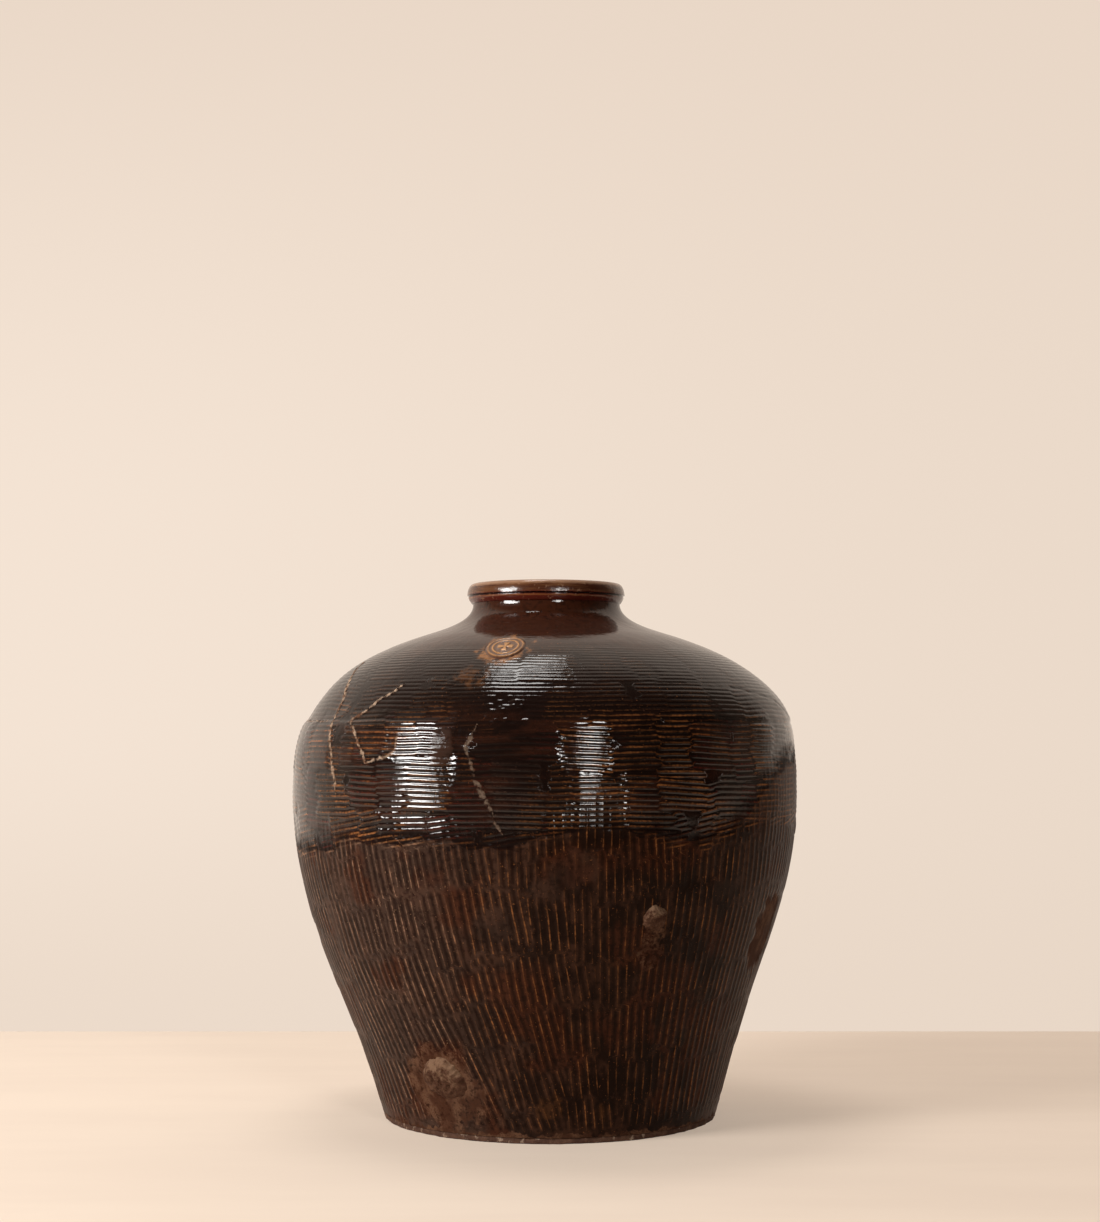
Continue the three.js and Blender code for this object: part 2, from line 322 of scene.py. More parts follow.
def beat(wall, rng, paddle, wander):
    """Grooves of rows of blows, each of which wipes out what lay under its face"""
    grooves = Grooves(len(wall.turn))
    half_width, half_height = paddle.face[0] / 2, paddle.face[1] / 2
    reach = math.hypot(half_width, half_height)
    uneven = 3.0 * (clouds(wall.turn, wall.length, 1.8, 6.0, 57, 2) - 0.5)
    ends = 14.0 * (clouds(wall.turn, wall.length, *paddle.end_cells, 61, 2) - 0.5)
    fading = 0.35 if paddle.level else 1.0
    spread = LEVEL_PITCH_SPREAD if paddle.level else UPRIGHT_PITCH_SPREAD
    for row_index, row in enumerate(paddle.rows):
        middle = float(np.interp(row, wall.outline.length, wall.outline.radius))
        count = max(6, round(TAU * middle / paddle.spacing))
        for blow in range(count):
            jitter = rng.uniform(-BLOW_SCATTER, BLOW_SCATTER, 2)
            centre = (blow + 0.5 * (row_index % 2) + jitter[0]) * TAU / count
            height = row + jitter[1] * paddle.face[1] * 0.5
            lean = paddle.lean(wrapped(centre), wall.outline.height_at(row))
            tilt = math.radians(lean + rng.normal(0.0, BLOW_TILT))
            gap = paddle.pitch * (1.0 + spread * rng.uniform(-0.06, 0.07))
            phase = height / paddle.pitch + 0.35 * rng.random() if paddle.level else rng.random()
            press = rng.uniform(paddle.lightest, 1.0)
            slant = rng.normal(0.0, BLOW_SLANT, 2)
            shade = rng.random()
            around = wrapped(wall.turn - centre)
            near = (np.abs(around * middle) < reach + 3.0) & (np.abs(wall.length - height) < reach + 3.0)
            if not near.any():
                continue
            across = around[near] * wall.radius[near]
            up = wall.length[near] - height
            side = across * math.cos(tilt) + up * math.sin(tilt)
            along = up * math.cos(tilt) - across * math.sin(tilt)
            inset_side = half_width - np.abs(side) + (ends if paddle.level else uneven)[near]
            inset_along = half_height - np.abs(along) + (uneven if paddle.level else ends)[near]
            inset = np.minimum(inset_side, inset_along)
            groove = ((along if paddle.level else side) + wander[near]) / gap + phase
            struck = press * (1 - fading + fading * ramp(inset_side, 0.6, 2.6)) * ramp(inset_along, 0.6, 2.2)
            spared = grooves.force[near] * (1 - fading + fading * ramp(-inset, 0.6, 2.2))
            grooves.force[near] = np.where(inset > 0, struck, spared)
            grooves.phase[near] = np.where(inset > 0, groove, grooves.phase[near])
            grooves.shade[near] = np.where(inset > 0, shade, grooves.shade[near])
            glow = np.modf(np.abs(np.sin(np.round(groove) * 12.99 + shade * 78.2)) * 437.58)[0]
            grooves.glow[near] = np.where(inset > 0, glow, grooves.glow[near])
            cover = ramp(inset, -2.0, 7.0)
            own = slant[0] * side + slant[1] * along
            grooves.flat[near] += cover * (own - grooves.flat[near])
    return grooves


def rib_lean(centre, height):
    """The upright ribs tilt to the left at their tops, most of all low down on the front left"""
    low = 1.0 - float(ramp(height, 60.0, 215.0))
    front = math.exp(-((math.degrees(centre) + 20.0) / 38.0) ** 2)
    return 2.0 + (4.0 + 9.0 * low) * front


def ridge_lean(centre, height):
    """The level ridges climb to the right low on the belly"""
    return 9.0 * (1.0 - float(ramp(height, 268.0, 296.0)))


def glaze_edge(turn):
    """Height at which the thick gloss glaze ends, in millimetres: it climbs on the right"""
    degrees = np.degrees(turn)
    edge = 249.0 + 3.0 * np.sin(turn) + 62.0 * ramp(degrees, 36.0, 72.0) * ramp(150.0 - degrees, 0.0, 60.0)
    edge += 12.0 * np.exp(-(((degrees - 12.0) / 9.0) ** 2))
    edge -= 12.0 * np.exp(-(((degrees + 68.0) / 14.0) ** 2))
    return edge + 9.0 * (clouds(turn, np.zeros_like(turn), 11.0, 50.0, 41, 3) - 0.5)


# Marks that the kiln and the years left, as (degrees round the jar from the front, height in mm)
LEFT_CRACK = ((-74.0, 399.0), (-70.1, 394.0), (-62.0, 378.0), (-58.3, 365.0), (-56.1, 346.0), (-53.0, 318.0),
              (-50.3, 288.0))
ARROW_CRACK = ((-38.0, 379.0), (-39.6, 373.0), (-48.9, 348.5), (-43.9, 330.0), (-41.1, 313.0))
HOOK_CRACK = ((-41.1, 313.0), (-37.0, 317.0), (-33.3, 322.6), (-33.1, 332.0))
LEDGE_CRACK = ((-84.0, 349.0), (-76.7, 348.5), (-59.6, 348.0))
RIGHT_CRACK = ((50.0, 375.0), (61.0, 370.0), (70.1, 364.0), (78.0, 351.0))
CHALK_RUN = ((-15.0, 345.0), (-15.3, 336.0), (-16.4, 326.0), (-15.4, 315.8), (-14.6, 304.0), (-12.9, 292.0),
             (-10.0, 267.0), (-8.4, 256.6))
CHALK_HEIGHTS = (256.0, 268.0, 280.0, 290.0, 300.0, 310.0, 322.0, 332.0, 345.0)
CHALK_WIDTHS = (0.7, 1.1, 2.0, 3.0, 1.9, 1.4, 2.0, 2.2, 0.8)

# The lip's underside, as (out, up) from the waist in mm: a thin bead, a crease and the roll over it
LIP_UNDERSIDE = ((-0.6, 0.0), (0.6, 0.3), (1.4, 1.3), (2.3, 2.7), (3.1, 4.2), (3.5, 5.5), (3.4, 6.3),
                 (3.0, 6.8), (3.3, 7.2), (4.0, 7.6))
LIP_ROLL_HEIGHT = 10.5
LIP_WIDTH = 15.9
LIP_LAND = 4.0

# Patches where the ribs are rubbed nearly smooth, as (degrees, height, half width, half height)
SMOOTH_SPOTS = ((-23.5, 218.0, 21.0, 9.0), (-9.9, 186.0, 14.0, 13.0), (0.8, 213.0, 15.0, 10.0),
                (7.0, 229.0, 19.0, 13.0), (-52.0, 205.0, 26.0, 14.0), (-60.0, 172.0, 12.0, 26.0),
                (44.0, 208.0, 20.0, 12.0),
                (150.0, 190.0, 24.0, 14.0), (-140.0, 120.0, 16.0, 26.0))

# Single marks, as (degrees, height, half width, half height, raggedness, seed)
SCAR = (-33.0, 44.0, 40.0, 42.0, 0.5, 120)
FLAT_PATCH = (69.0, 168.0, 28.0, 36.0, 0.5, 130)
KNOB_RUN = (25.5, 166.0, 13.0, 26.0, 0.4, 140)
TABLET_BED = (-13.5, 409.0, 17.0, 22.0, 0.1, 150)
WORN_PATCH = (-22.0, 327.0, 10.0, 17.0, 0.7, 155)
CURLED_PATCH = (-9.0, 356.0, 20.0, 14.0, 0.5, 151)
SPLASHES = ((0.0, 32.0, 9.0, 9.0, 2.2, 231), (17.0, 28.5, 9.0, 8.0, 2.2, 233))
HALO = (-13.5, 407.0, 23.0, 30.0, 0.9, 200)
HALO_DRIP = (-19.0, 385.0, 16.0, 14.0, 1.2, 210)


class WallPoints:
    """Places on the outside of a wall: turn in radians, and length, height and radius in millimetres"""

    def __init__(self, outline, turn, length, radius):
        self.outline = outline
        self.turn = turn
        self.length = length
        self.radius = radius
        self.height = outline.at(length)[1]

    def spot(self, degrees, height, half_width, half_height, ragged=0.5, seed=90):
        """1 inside a ragged oval patch and 0 outside"""
        across = wrapped(self.turn - math.radians(degrees)) * self.radius / half_width
        up = (self.length - self.outline.length_at(height)) / half_height
        edge = np.hypot(across, up) + ragged * (clouds(self.turn, self.length, 3.2, 10.0, seed) - 0.5)
        return 1.0 - ramp(edge, 0.75, 1.12)

    def distance(self, line, wobble=3.0, seed=95):
        """Distance in millimetres from a broken line of (degrees, height) points"""
        across = self.turn * self.radius + wobble * (clouds(self.turn, self.length, 2.2, 8.0, seed, 5) - 0.5)
        up = self.length + wobble * (clouds(self.turn, self.length, 2.2, 8.0, seed + 5, 5) - 0.5)
        best = np.full_like(across, 1000.0)
        for (low_turn, low_height), (high_turn, high_height) in zip(line, line[1:]):
            start = np.array([math.radians(low_turn), self.outline.length_at(low_height)])
            end = np.array([math.radians(high_turn), self.outline.length_at(high_height)])
            run = (end[0] - start[0]) * self.radius
            climb = end[1] - start[1]
            from_start = across - start[0] * self.radius
            share = (from_start * run + (up - start[1]) * climb) / (run * run + climb * climb)
            share = np.clip(share, 0.0, 1.0)
            gap = np.hypot(from_start - share * run, up - start[1] - share * climb)
            best = np.minimum(best, gap)
        return best

    def line(self, points, width, wobble=3.0, seed=95):
        """1 along a broken line and 0 a few widths away from it"""
        return np.exp(-((self.distance(points, wobble, seed) / width) ** 2))


def paddled(wall, marks):
    """The upright ribs and the level ridges, beaten over each other"""
    rng = np.random.default_rng(7)
    ribbed = Paddle(
        face=(56.0, 78.0), pitch=millimetres(marks.rib_pitch), spacing=41.0, row_gap=46.0, lowest=18.0,
        highest=345.0, lean=rib_lean, level=False, lightest=0.55, end_cells=(2.0, 60.0))
    ridged = Paddle(
        face=(45.0, 64.0), pitch=millimetres(marks.ridge_pitch), spacing=36.0, row_gap=42.0, lowest=262.0,
        highest=480.0, lean=ridge_lean, level=True, lightest=0.75, end_cells=(14.0, 5.0))
    wander = 1.1 * (clouds(wall.turn, wall.length, 7.0, 26.0, 57, 2) - 0.5)
    ribs = beat(wall, rng, ribbed, wander)
    squiggle = wall.spot(-9.0, 356.0, 19.0, 12.0, 0.3, 151)
    wander = wander + 2.6 * squiggle * (clouds(wall.turn, wall.length, 2.4, 9.0, 58, 2) - 0.5)
    ridges = beat(wall, rng, ridged, wander)
    return ribs, ridges


def tinted(share, first, second):
    """Colours between two others, where share is from 0 to 1 at each point"""
    first, second = np.asarray(first)[..., :3], np.asarray(second)[..., :3]
    return first + share[:, None] * (second - first)


class WallMarks:
    """Everything that shows on a wall, as shares from 0 to 1 at its points"""

    def __init__(self, wall, marks):
        turn, rise = wall.turn, wall.height
        self.wall = wall
        self.sizes = marks
        self.ribs, self.ridges = paddled(wall, marks)
        wave = self.sway(11.0, 30.0, 3, 3)
        edge = glaze_edge(turn)
        self.above = rise + 16.0 * self.sway(4.0, 9.0, 29, 4) - edge
        lowest = np.minimum(edge, 262.0)
        self.ridged = ramp(rise + 10.0 * wave, lowest - 7.0, lowest + 3.0)
        self.dome = ramp(rise + 14.0 * wave, 342.0, 366.0)
        self.crown = ramp(rise + 20.0 * wave, 396.0, 424.0)
        self.brim = np.exp(-(((self.above - 1.5) / 3.0) ** 2)) * (1.0 - 0.8 * ramp(turn, 0.5, 0.9))
        self.brim *= 0.20 + 0.80 * self.patches(3.0, 9.0, 431, 3, 0.44, 0.60)
        self.gloss = ramp(self.above, -3.0, 3.0)
        self.smooth = np.zeros_like(turn)
        for index, (degrees, height, half_width, half_height) in enumerate(SMOOTH_SPOTS):
            spot = wall.spot(degrees, height, half_width, half_height, 1.8, 100 + index)
            self.smooth = np.maximum(self.smooth, spot)
        self.scar = wall.spot(*SCAR)
        self.flat = wall.spot(*FLAT_PATCH)
        self.knob_run = wall.spot(*KNOB_RUN)
        self.pressed = wall.spot(*TABLET_BED)
        self.worn = wall.spot(*WORN_PATCH)
        self.curled = wall.spot(*CURLED_PATCH)
        self.splash = np.maximum(wall.spot(*SPLASHES[0]), wall.spot(*SPLASHES[1]))
        self.foot_edge = 1.0 - ramp(rise + 9.0 * self.sway(2.5, 5.0, 220, 3), 5.0, 9.0)
        self.halo = np.maximum(wall.spot(*HALO), 0.3 * wall.spot(*HALO_DRIP))
        self.add_cracks()
        self.rib_force = self.ribs.force * (1.0 - ramp(self.above + 24.0 * wave, 6.0, 36.0))
        self.rib_force *= ramp(rise + 8.0 * wave, 8.0, 18.0) * (1.0 - 0.60 * self.smooth)
        self.rib_force *= (1.0 - 0.85 * self.scar) * (1.0 - self.flat) * (1.0 - 0.6 * self.knob_run)
        self.rib_force *= 1.0 - 0.55 * self.ridged
        self.ridge_share = self.ridged * (1.0 - 0.2 * self.dome) * (1.0 - 0.85 * self.crown)
        self.ridge_share *= (1.0 - self.pressed) * (1.0 - 0.7 * self.worn)
        self.ridge_force = self.ridges.force * self.ridge_share

    def clouds(self, cell_turn, cell_rise, seed, octaves=3):
        return clouds(self.wall.turn, self.wall.height, cell_turn, cell_rise, seed, octaves)

    def sway(self, *noise):
        """The same noise from -0.5 to 0.5"""
        return self.clouds(*noise) - 0.5

    def patches(self, cell_turn, cell_rise, seed, octaves, low, high):
        """Ragged patches, 1 where the noise is over high and 0 where it is under low"""
        return ramp(self.clouds(cell_turn, cell_rise, seed, octaves), low, high)

    def add_cracks(self):
        wall = self.wall
        patchy = 0.72 + 0.28 * self.patches(1.0, 3.0, 160, 3, 0.38, 0.60)
        self.raised = patchy * np.maximum.reduce([
            wall.line(LEFT_CRACK, 2.3, 5.0), wall.line(ARROW_CRACK, 2.0, 5.0),
            0.9 * wall.line(HOOK_CRACK, 1.7, 5.0), 0.8 * wall.line(LEDGE_CRACK, 1.4)])
        # Painted shadow: a dark band along both sides of the raised left and arrow cracks
        self.crack_shadow = np.maximum(wall.line(LEFT_CRACK, 4.0), wall.line(ARROW_CRACK, 3.6))
        self.split = wall.line(RIGHT_CRACK, 1.3)
        width = np.interp(wall.height, CHALK_HEIGHTS, CHALK_WIDTHS)
        self.chalk = np.exp(-((wall.distance(CHALK_RUN, 4.0) / width) ** 2))
        self.chalk *= 0.35 + 0.65 * self.patches(1.1, 3.5, 170, 3, 0.26, 0.50)
        self.chalk *= 0.85 + 0.15 * self.ridges.crest()

    def relief(self):
        """Height over the outline in millimetres"""
        turn, rise = self.wall.turn, self.wall.height
        height = millimetres(self.sizes.rib_depth) * self.ribs.crest() ** 1.4 * self.rib_force
        proud = self.ridges.force * (1.0 - (1.0 - self.ridges.crest()) ** 1.4)
        height -= millimetres(self.sizes.ridge_depth) * self.ridge_share * (1.0 - proud)
        height += 0.7 * self.ribs.flat * (1.0 - self.ridged) * ramp(rise, 8.0, 30.0)
        height += self.ridges.flat * self.ridged * (1.0 - 0.65 * self.dome) * (1.0 - self.crown)
        height += 1.4 * np.sin(turn) * ramp(rise, 346.0, 349.0) * (1.0 - ramp(rise, 352.0, 396.0))
        height += 1.3 * self.sway(30.0, 80.0, 17, 2)
        height += 0.10 * self.sway(1.8, 6.0, 23, 2)
        height += 1.6 * self.scar * self.sway(2.6, 7.0, 180, 3)
        height += 0.9 * self.scar * self.sway(1.5, 40.0, 190, 2)
        height += 0.5 * self.raised * (self.clouds(1.0, 3.0, 195, 2) - 0.3)
        height += 2.2 * self.curled * self.sway(2.2, 3.4, 240, 2)
        height += 0.30 * self.raised + 0.15 * self.chalk - 0.5 * self.split
        return height - 0.25 - 1.3 * self.flat - 0.9 * self.pressed

    def satin_paint(self, colours):
        """Slip glaze of the lower wall, mottled brown, with painted light: lighter towards the left side,
        and a painted grey sheen towards the left and right sides
        """
        # Painted light: the left side is painted lighter, with more purple-brown and thin red-brown, and
        # grey is painted towards the left and right sides as a sheen of the pale surroundings
        left = ramp(-self.wall.turn, -0.25, 0.75)
        right = ramp(self.wall.turn, 0.75, 1.25)
        cloudy = self.patches(4.0, 16.0, 301, 4, 0.42, 0.60)
        paint = tinted((0.60 + 0.40 * left) * cloudy, colours.deep, colours.satin)
        paint = tinted(0.62 * left + 0.80 * right, paint, colours.grey)
        thin = self.patches(9.0, 34.0, 311, 4, 0.50, 0.66)
        paint = tinted((0.60 + 0.20 * left) * thin, paint, colours.thin)
        paint = tinted(0.15 * self.smooth, paint, colours.grey)
        paint = tinted(0.12 * self.splash, paint, colours.crest)
        trough = ramp(0.7 - self.ribs.crest(), 0.0, 0.6) * ramp(self.rib_force, 0.1, 0.6)
        return tinted(0.8 * trough, paint, colours.deep)

    def gloss_paint(self, colours):
        """Thick glaze of the upper wall, nearly black, with painted shadow beside the raised cracks"""
        thin = self.patches(12.0, 9.0, 321, 4, 0.46, 0.68) * (0.30 - 0.26 * self.dome)
        paint = tinted(np.maximum(thin, 0.7 * self.crown), colours.pool, colours.thin)
        paint = tinted(0.4 * self.worn, paint, colours.grey)
        halo = self.halo * self.patches(1.3, 4.0, 331, 3, 0.30, 0.62)
        paint = tinted(0.75 * halo, paint, tinted(0.35 * halo, colours.crest, colours.ochre))
        # The glaze roll at the glaze's edge and the open split are dark glaze; the dark beside the raised
        # cracks is painted shadow
        return tinted(np.maximum.reduce([self.brim, 0.8 * self.crack_shadow, self.split]), paint, colours.pool)

    def line_paint(self, colours):
        """Glaze on the crests: tan and amber on the ribs, and each set of ridges in a shade of its own"""
        turn = self.wall.turn
        sideways = np.degrees(turn) + 24.0 * self.sway(8.0, 30.0, 341, 3)
        rib = tinted(ramp(sideways, -38.0, -8.0), colours.tan, colours.crest)
        shade = self.ridges.shade
        ridge = tinted(ramp(shade, 0.25, 0.35), colours.ruby, colours.thin)
        ridge = tinted(ramp(shade, 0.50, 0.60), ridge, colours.crest)
        ridge = tinted(ramp(shade, 0.86, 0.92), ridge, colours.grey)
        amber = self.clouds(8.0, 30.0, 351, 3) + 0.09 * ramp(turn, 0.3, 0.8)
        ridge = tinted(0.7 * ramp(amber, 0.52, 0.62), ridge, colours.crest)
        return tinted(self.gloss, rib, ridge)

    def mark_paint(self, colours):
        """Bare clay, and the cream grit of cracks and runs"""
        paint = tinted(self.patches(3.0, 11.0, 361, 3, 0.36, 0.66), colours.scar, colours.clay)
        grit = tinted(self.patches(0.9, 2.6, 371, 2, 0.30, 0.60), colours.clay, colours.pale)
        paint = tinted(ramp(self.raised, 0.05, 0.3), paint, grit)
        return tinted(ramp(self.chalk, 0.05, 0.3), paint, colours.chalk)

    def shares(self):
        """The plain values that the glaze reads"""
        turn = self.wall.turn
        bare = np.maximum.reduce([0.62 * self.scar, 0.8 * self.flat, 0.4 * self.knob_run, self.foot_edge])
        mark = np.maximum.reduce([bare, 0.75 * self.raised, 0.80 * self.chalk])
        patchy = 0.30 + 0.70 * self.patches(5.0, 18.0, 381, 3, 0.38, 0.58)
        strong = 0.35 + 0.65 * self.patches(6.0, 12.0, 391, 3, 0.40, 0.60)
        strong *= (0.60 + 0.40 * self.ridges.glow) * (1.0 - 0.80 * self.dome)
        strong *= 0.45 + 0.55 * ramp(np.abs(turn + 0.12), 0.05, 0.5)
        rough = 0.45 + 0.12 * self.sway(6.0, 22.0, 401, 3)
        rough += 0.32 * self.gloss
        ragged = 12.0 * self.sway(1.6, 4.0, 411, 3)
        coat = 0.05 + 0.95 * ramp(self.above + ragged, -2.0, 24.0)
        coat *= (1.0 - 0.8 * self.worn) * (1.0 - ramp(mark, 0.25, 0.55)) * (0.92 - 0.22 * self.dome)
        rib_line = ramp(self.rib_force, 0.15, 0.55) * (1.0 - 0.8 * self.brim)
        rib_line *= 0.50 + 0.50 * self.ribs.glow
        rib_line *= 0.30 + 0.70 * self.patches(1.4, 8.0, 421, 3, 0.36, 0.60)
        rib_line *= patchy + self.gloss * (0.85 * ramp(self.ridges.crest(), 0.2, 0.8) - patchy)
        return {
            "gloss": self.gloss, "coat": coat, "mark": mark,
            "rough": rough + (0.8 - rough) * ramp(mark, 0.3, 0.6),
            "rib_phase": self.ribs.phase, "rib_force": self.rib_force, "rib_line": rib_line,
            "ridge_phase": self.ridges.phase, "ridge_force": self.ridge_force,
            "ridge_line": ramp(self.ridge_force, 0.15, 0.6) * strong * (1.0 - 0.8 * self.brim),
        }

    def paints(self, colours):
        """The colours that the glaze reads"""
        return {
            "satin_paint": self.satin_paint(colours), "gloss_paint": self.gloss_paint(colours),
            "line_paint": self.line_paint(colours), "mark_paint": self.mark_paint(colours),
        }


# Modelling helpers


def start_clean():
    """Leaves edit mode and deselects everything"""
    if bpy.context.mode != "OBJECT":
        bpy.ops.object.mode_set(mode="OBJECT")
    bpy.ops.object.select_all(action="DESELECT")


def pick(*pieces):
    """Selects these pieces alone, and makes the last of them active"""
    start_clean()
    for piece in pieces:
        piece.select_set(True)
    bpy.context.view_layer.objects.active = pieces[-1]


@contextmanager
def editing(selected):
    """Edit mode on the active piece, with all of its mesh or nothing selected at first"""
    bpy.ops.object.mode_set(mode="EDIT")
    bpy.ops.mesh.select_all(action="SELECT" if selected else "DESELECT")
    yield
    bpy.ops.object.mode_set(mode="OBJECT")


def profile(name, points, closed):
    """A line of edges in the xz plane, through points of (radius, height) in millimetres"""
    start_clean()
    bpy.ops.mesh.primitive_circle_add(vertices=len(points), radius=MM, fill_type="NOTHING")
    line = bpy.context.active_object
    line.name = name
    line.data.name = name
    for vertex, (radius, height) in zip(line.data.vertices, points):
        vertex.co = (radius * MM, 0.0, height * MM)
    if not closed:
        cut_open(line)
    return line


def cut_open(line):
    """Takes the edge out that joins the line's last point to its first"""
    last = len(line.data.vertices) - 1
    with editing(False):
        bpy.ops.mesh.select_mode(type="EDGE")
    for edge in line.data.edges:
        edge.select = set(edge.vertices) == {0, last}
    bpy.ops.object.mode_set(mode="EDIT")
    bpy.ops.mesh.delete(type="EDGE_FACE")
    bpy.ops.mesh.select_mode(type="VERT")
    bpy.ops.object.mode_set(mode="OBJECT")


def throw(line, columns):
    """Turns a profile round the z axis, as on a wheel, with its faces outwards"""
    screw = line.modifiers.new("wheel", "SCREW")
    screw.axis = "Z"
    screw.angle = TAU
    screw.steps = columns
    screw.render_steps = columns
    screw.use_merge_vertices = True
    screw.merge_threshold = 0.00001
    screw.use_smooth_shade = True
    bpy.context.view_layer.objects.active = line
    bpy.ops.object.modifier_apply(modifier="wheel")
    face_outwards(line)
    return line


def face_outwards(obj):
    """Points the faces out; an open sheet round the axis is turned over if they look at the axis"""
    pick(obj)
    with editing(True):
        bpy.ops.mesh.normals_make_consistent(inside=False)


def looks_in(obj):
    """Whether a sheet's faces look at the z axis"""
    face = obj.data.polygons[len(obj.data.polygons) // 2]
    return face.normal.x * face.center.x + face.normal.y * face.center.y < 0


def turn_over(obj):
    pick(obj)
    with editing(True):
        bpy.ops.mesh.flip_normals()


def close_rims(outside, inside):
    """Joins two sheets and bridges their lower rims and then their upper rims, for one closed wall"""
    pick(inside, outside)
    bpy.ops.object.join()
    with editing(False):
        bpy.ops.mesh.select_mode(type="EDGE")
        select_rims()
    keep_lower_half(outside)
    bpy.ops.object.mode_set(mode="EDIT")
    bpy.ops.mesh.bridge_edge_loops(type="PAIRS")
    select_rims()
    bpy.ops.mesh.bridge_edge_loops(type="PAIRS")
    bpy.ops.mesh.select_mode(type="VERT")
    bpy.ops.object.mode_set(mode="OBJECT")
    face_outwards(outside)
    return outside


def select_rims():
    bpy.ops.mesh.select_all(action="DESELECT")
    bpy.ops.mesh.select_non_manifold(extend=False, use_wire=False, use_multi_face=False)


def keep_lower_half(obj):
    """Deselects the edges in the upper half of a piece"""
    points = read_points(obj)
    middle = (points[:, 2].min() + points[:, 2].max()) / 2
    ends = np.empty(len(obj.data.edges) * 2, dtype=np.int32)
    obj.data.edges.foreach_get("vertices", ends)
    chosen = np.empty(len(obj.data.edges), dtype=bool)
    obj.data.edges.foreach_get("select", chosen)
    chosen &= points[ends.reshape(-1, 2)[:, 0], 2] < middle
    obj.data.edges.foreach_set("select", chosen)


def read_points(obj):
    points = np.empty(len(obj.data.vertices) * 3)
    obj.data.vertices.foreach_get("co", points)
    return points.reshape(-1, 3)


def write_points(obj, points):
    obj.data.vertices.foreach_set("co", points.ravel())
    obj.data.update()


def write_attribute(obj, name, values):
    attribute = obj.data.attributes.new(name, "FLOAT", "POINT")
    attribute.data.foreach_set("value", np.asarray(values, dtype=np.float32))


def write_paint(obj, name, colours):
    attribute = obj.data.attributes.new(name, "FLOAT_COLOR", "POINT")
    colours = np.column_stack([colours, np.ones(len(colours))])
    attribute.data.foreach_set("color", colours.astype(np.float32).ravel())


def raise_relief(obj, heights):
    """Displaces the shell outwards by heights in millimetres over the sunk base"""
    group = obj.vertex_groups.new(name="relief")
    weights = np.clip((heights + BASE_SINK) / RELIEF_REACH, 0.0, 1.0)
    for index in np.flatnonzero(weights > 0):
        group.add([int(index)], float(weights[index]), "REPLACE")
    displace = obj.modifiers.new("relief", "DISPLACE")
    displace.direction = "NORMAL"
    displace.mid_level = 0.0
    displace.strength = RELIEF_REACH * MM
    displace.vertex_group = "relief"
    bpy.context.view_layer.objects.active = obj
    bpy.ops.object.modifier_apply(modifier="relief")
    obj.vertex_groups.remove(obj.vertex_groups["relief"])


def let_drift(obj):
    """Shifts every height of a piece as far as the jar's axis wandered there"""
    points = read_points(obj)
    points[:, 0] += drift_at(points[:, 2] / MM) * MM
    write_points(obj, points)


def smooth(obj, angle=50.0):
    pick(obj)
    bpy.ops.object.shade_smooth_by_angle(angle=math.radians(angle))


def finish_piece(obj, material, slot, *nodes):
    """Glazes a piece, ties it to the jar's body and hides the CAD nodes that it stands for"""
    obj.data.materials.clear()
    obj.data.materials.append(material)
    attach(obj, "root")
    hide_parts(*nodes)
    return obj


def wall_section(name, outline, rows, inner_rows, thickness, columns, marks, colours):
    """Throws one section of wall, beats its outside and closes it with its inside

    thickness gives the wall's thickness in millimetres at a length up the outline.
    """
    sunk = [outline.at(length, -BASE_SINK) for length in rows]
    wall = throw(profile(name, sunk, False), columns)
    if looks_in(wall):
        turn_over(wall)
    points = read_points(wall) / MM
    row_height = np.array([height for _, height in sunk])
    length = np.interp(points[:, 2], row_height, rows)
    places = WallPoints(outline, np.arctan2(points[:, 0], -points[:, 1]), length,
                        np.hypot(points[:, 0], points[:, 1]))
    seen = WallMarks(places, marks)
    raise_relief(wall, seen.relief())
    inner = [outline.at(length, -thickness(length)) for length in inner_rows]
    wall = close_rims(wall, throw(profile(name + "_inside", inner, False), columns))
    inside = len(wall.data.vertices) - len(points)
    for attribute, values in seen.shares().items():
        write_attribute(wall, attribute, np.pad(values, (0, inside), constant_values=values[0]))
    for attribute, paint in seen.paints(colours).items():
        write_paint(wall, attribute, np.pad(paint, ((0, inside), (0, 0)), mode="edge"))
    let_drift(wall)
    smooth(wall)
    return wall


def wall_lump(name, outline, degrees, height, half_width, half_height, top, depth, segments, rings):
    """A lump or tablet that lies on the wall: top gives its height over the outline at points of the
    unit disc, and depth is how far its flat underside lies in the wall, in millimetres.
    """
    start_clean()
    bpy.ops.mesh.primitive_uv_sphere_add(segments=segments, ring_count=rings, radius=1.0)
    lump = bpy.context.active_object
    lump.name = name
    lump.data.name = name
    points = read_points(lump)
    angle = np.arctan2(points[:, 1], points[:, 0])
    reach = np.arccos(np.clip(np.abs(points[:, 2]), 0.0, 1.0)) / (math.pi / 2)
    across, up = reach * np.cos(angle), reach * np.sin(angle)
    offset = np.where(points[:, 2] > -1e-6, top(across, up), -depth)
    length = outline.length_at(height) + up * half_height
    radius, rise = outline.at(length, offset)
    turn = math.radians(degrees) + across * half_width / np.interp(length, outline.length, outline.radius)
    points = np.column_stack([radius * np.sin(turn), -radius * np.cos(turn), rise]) * MM
    write_points(lump, points)
    let_drift(lump)
    face_outwards(lump)
    smooth(lump, 70.0)
    return lump, across, up


# Materials


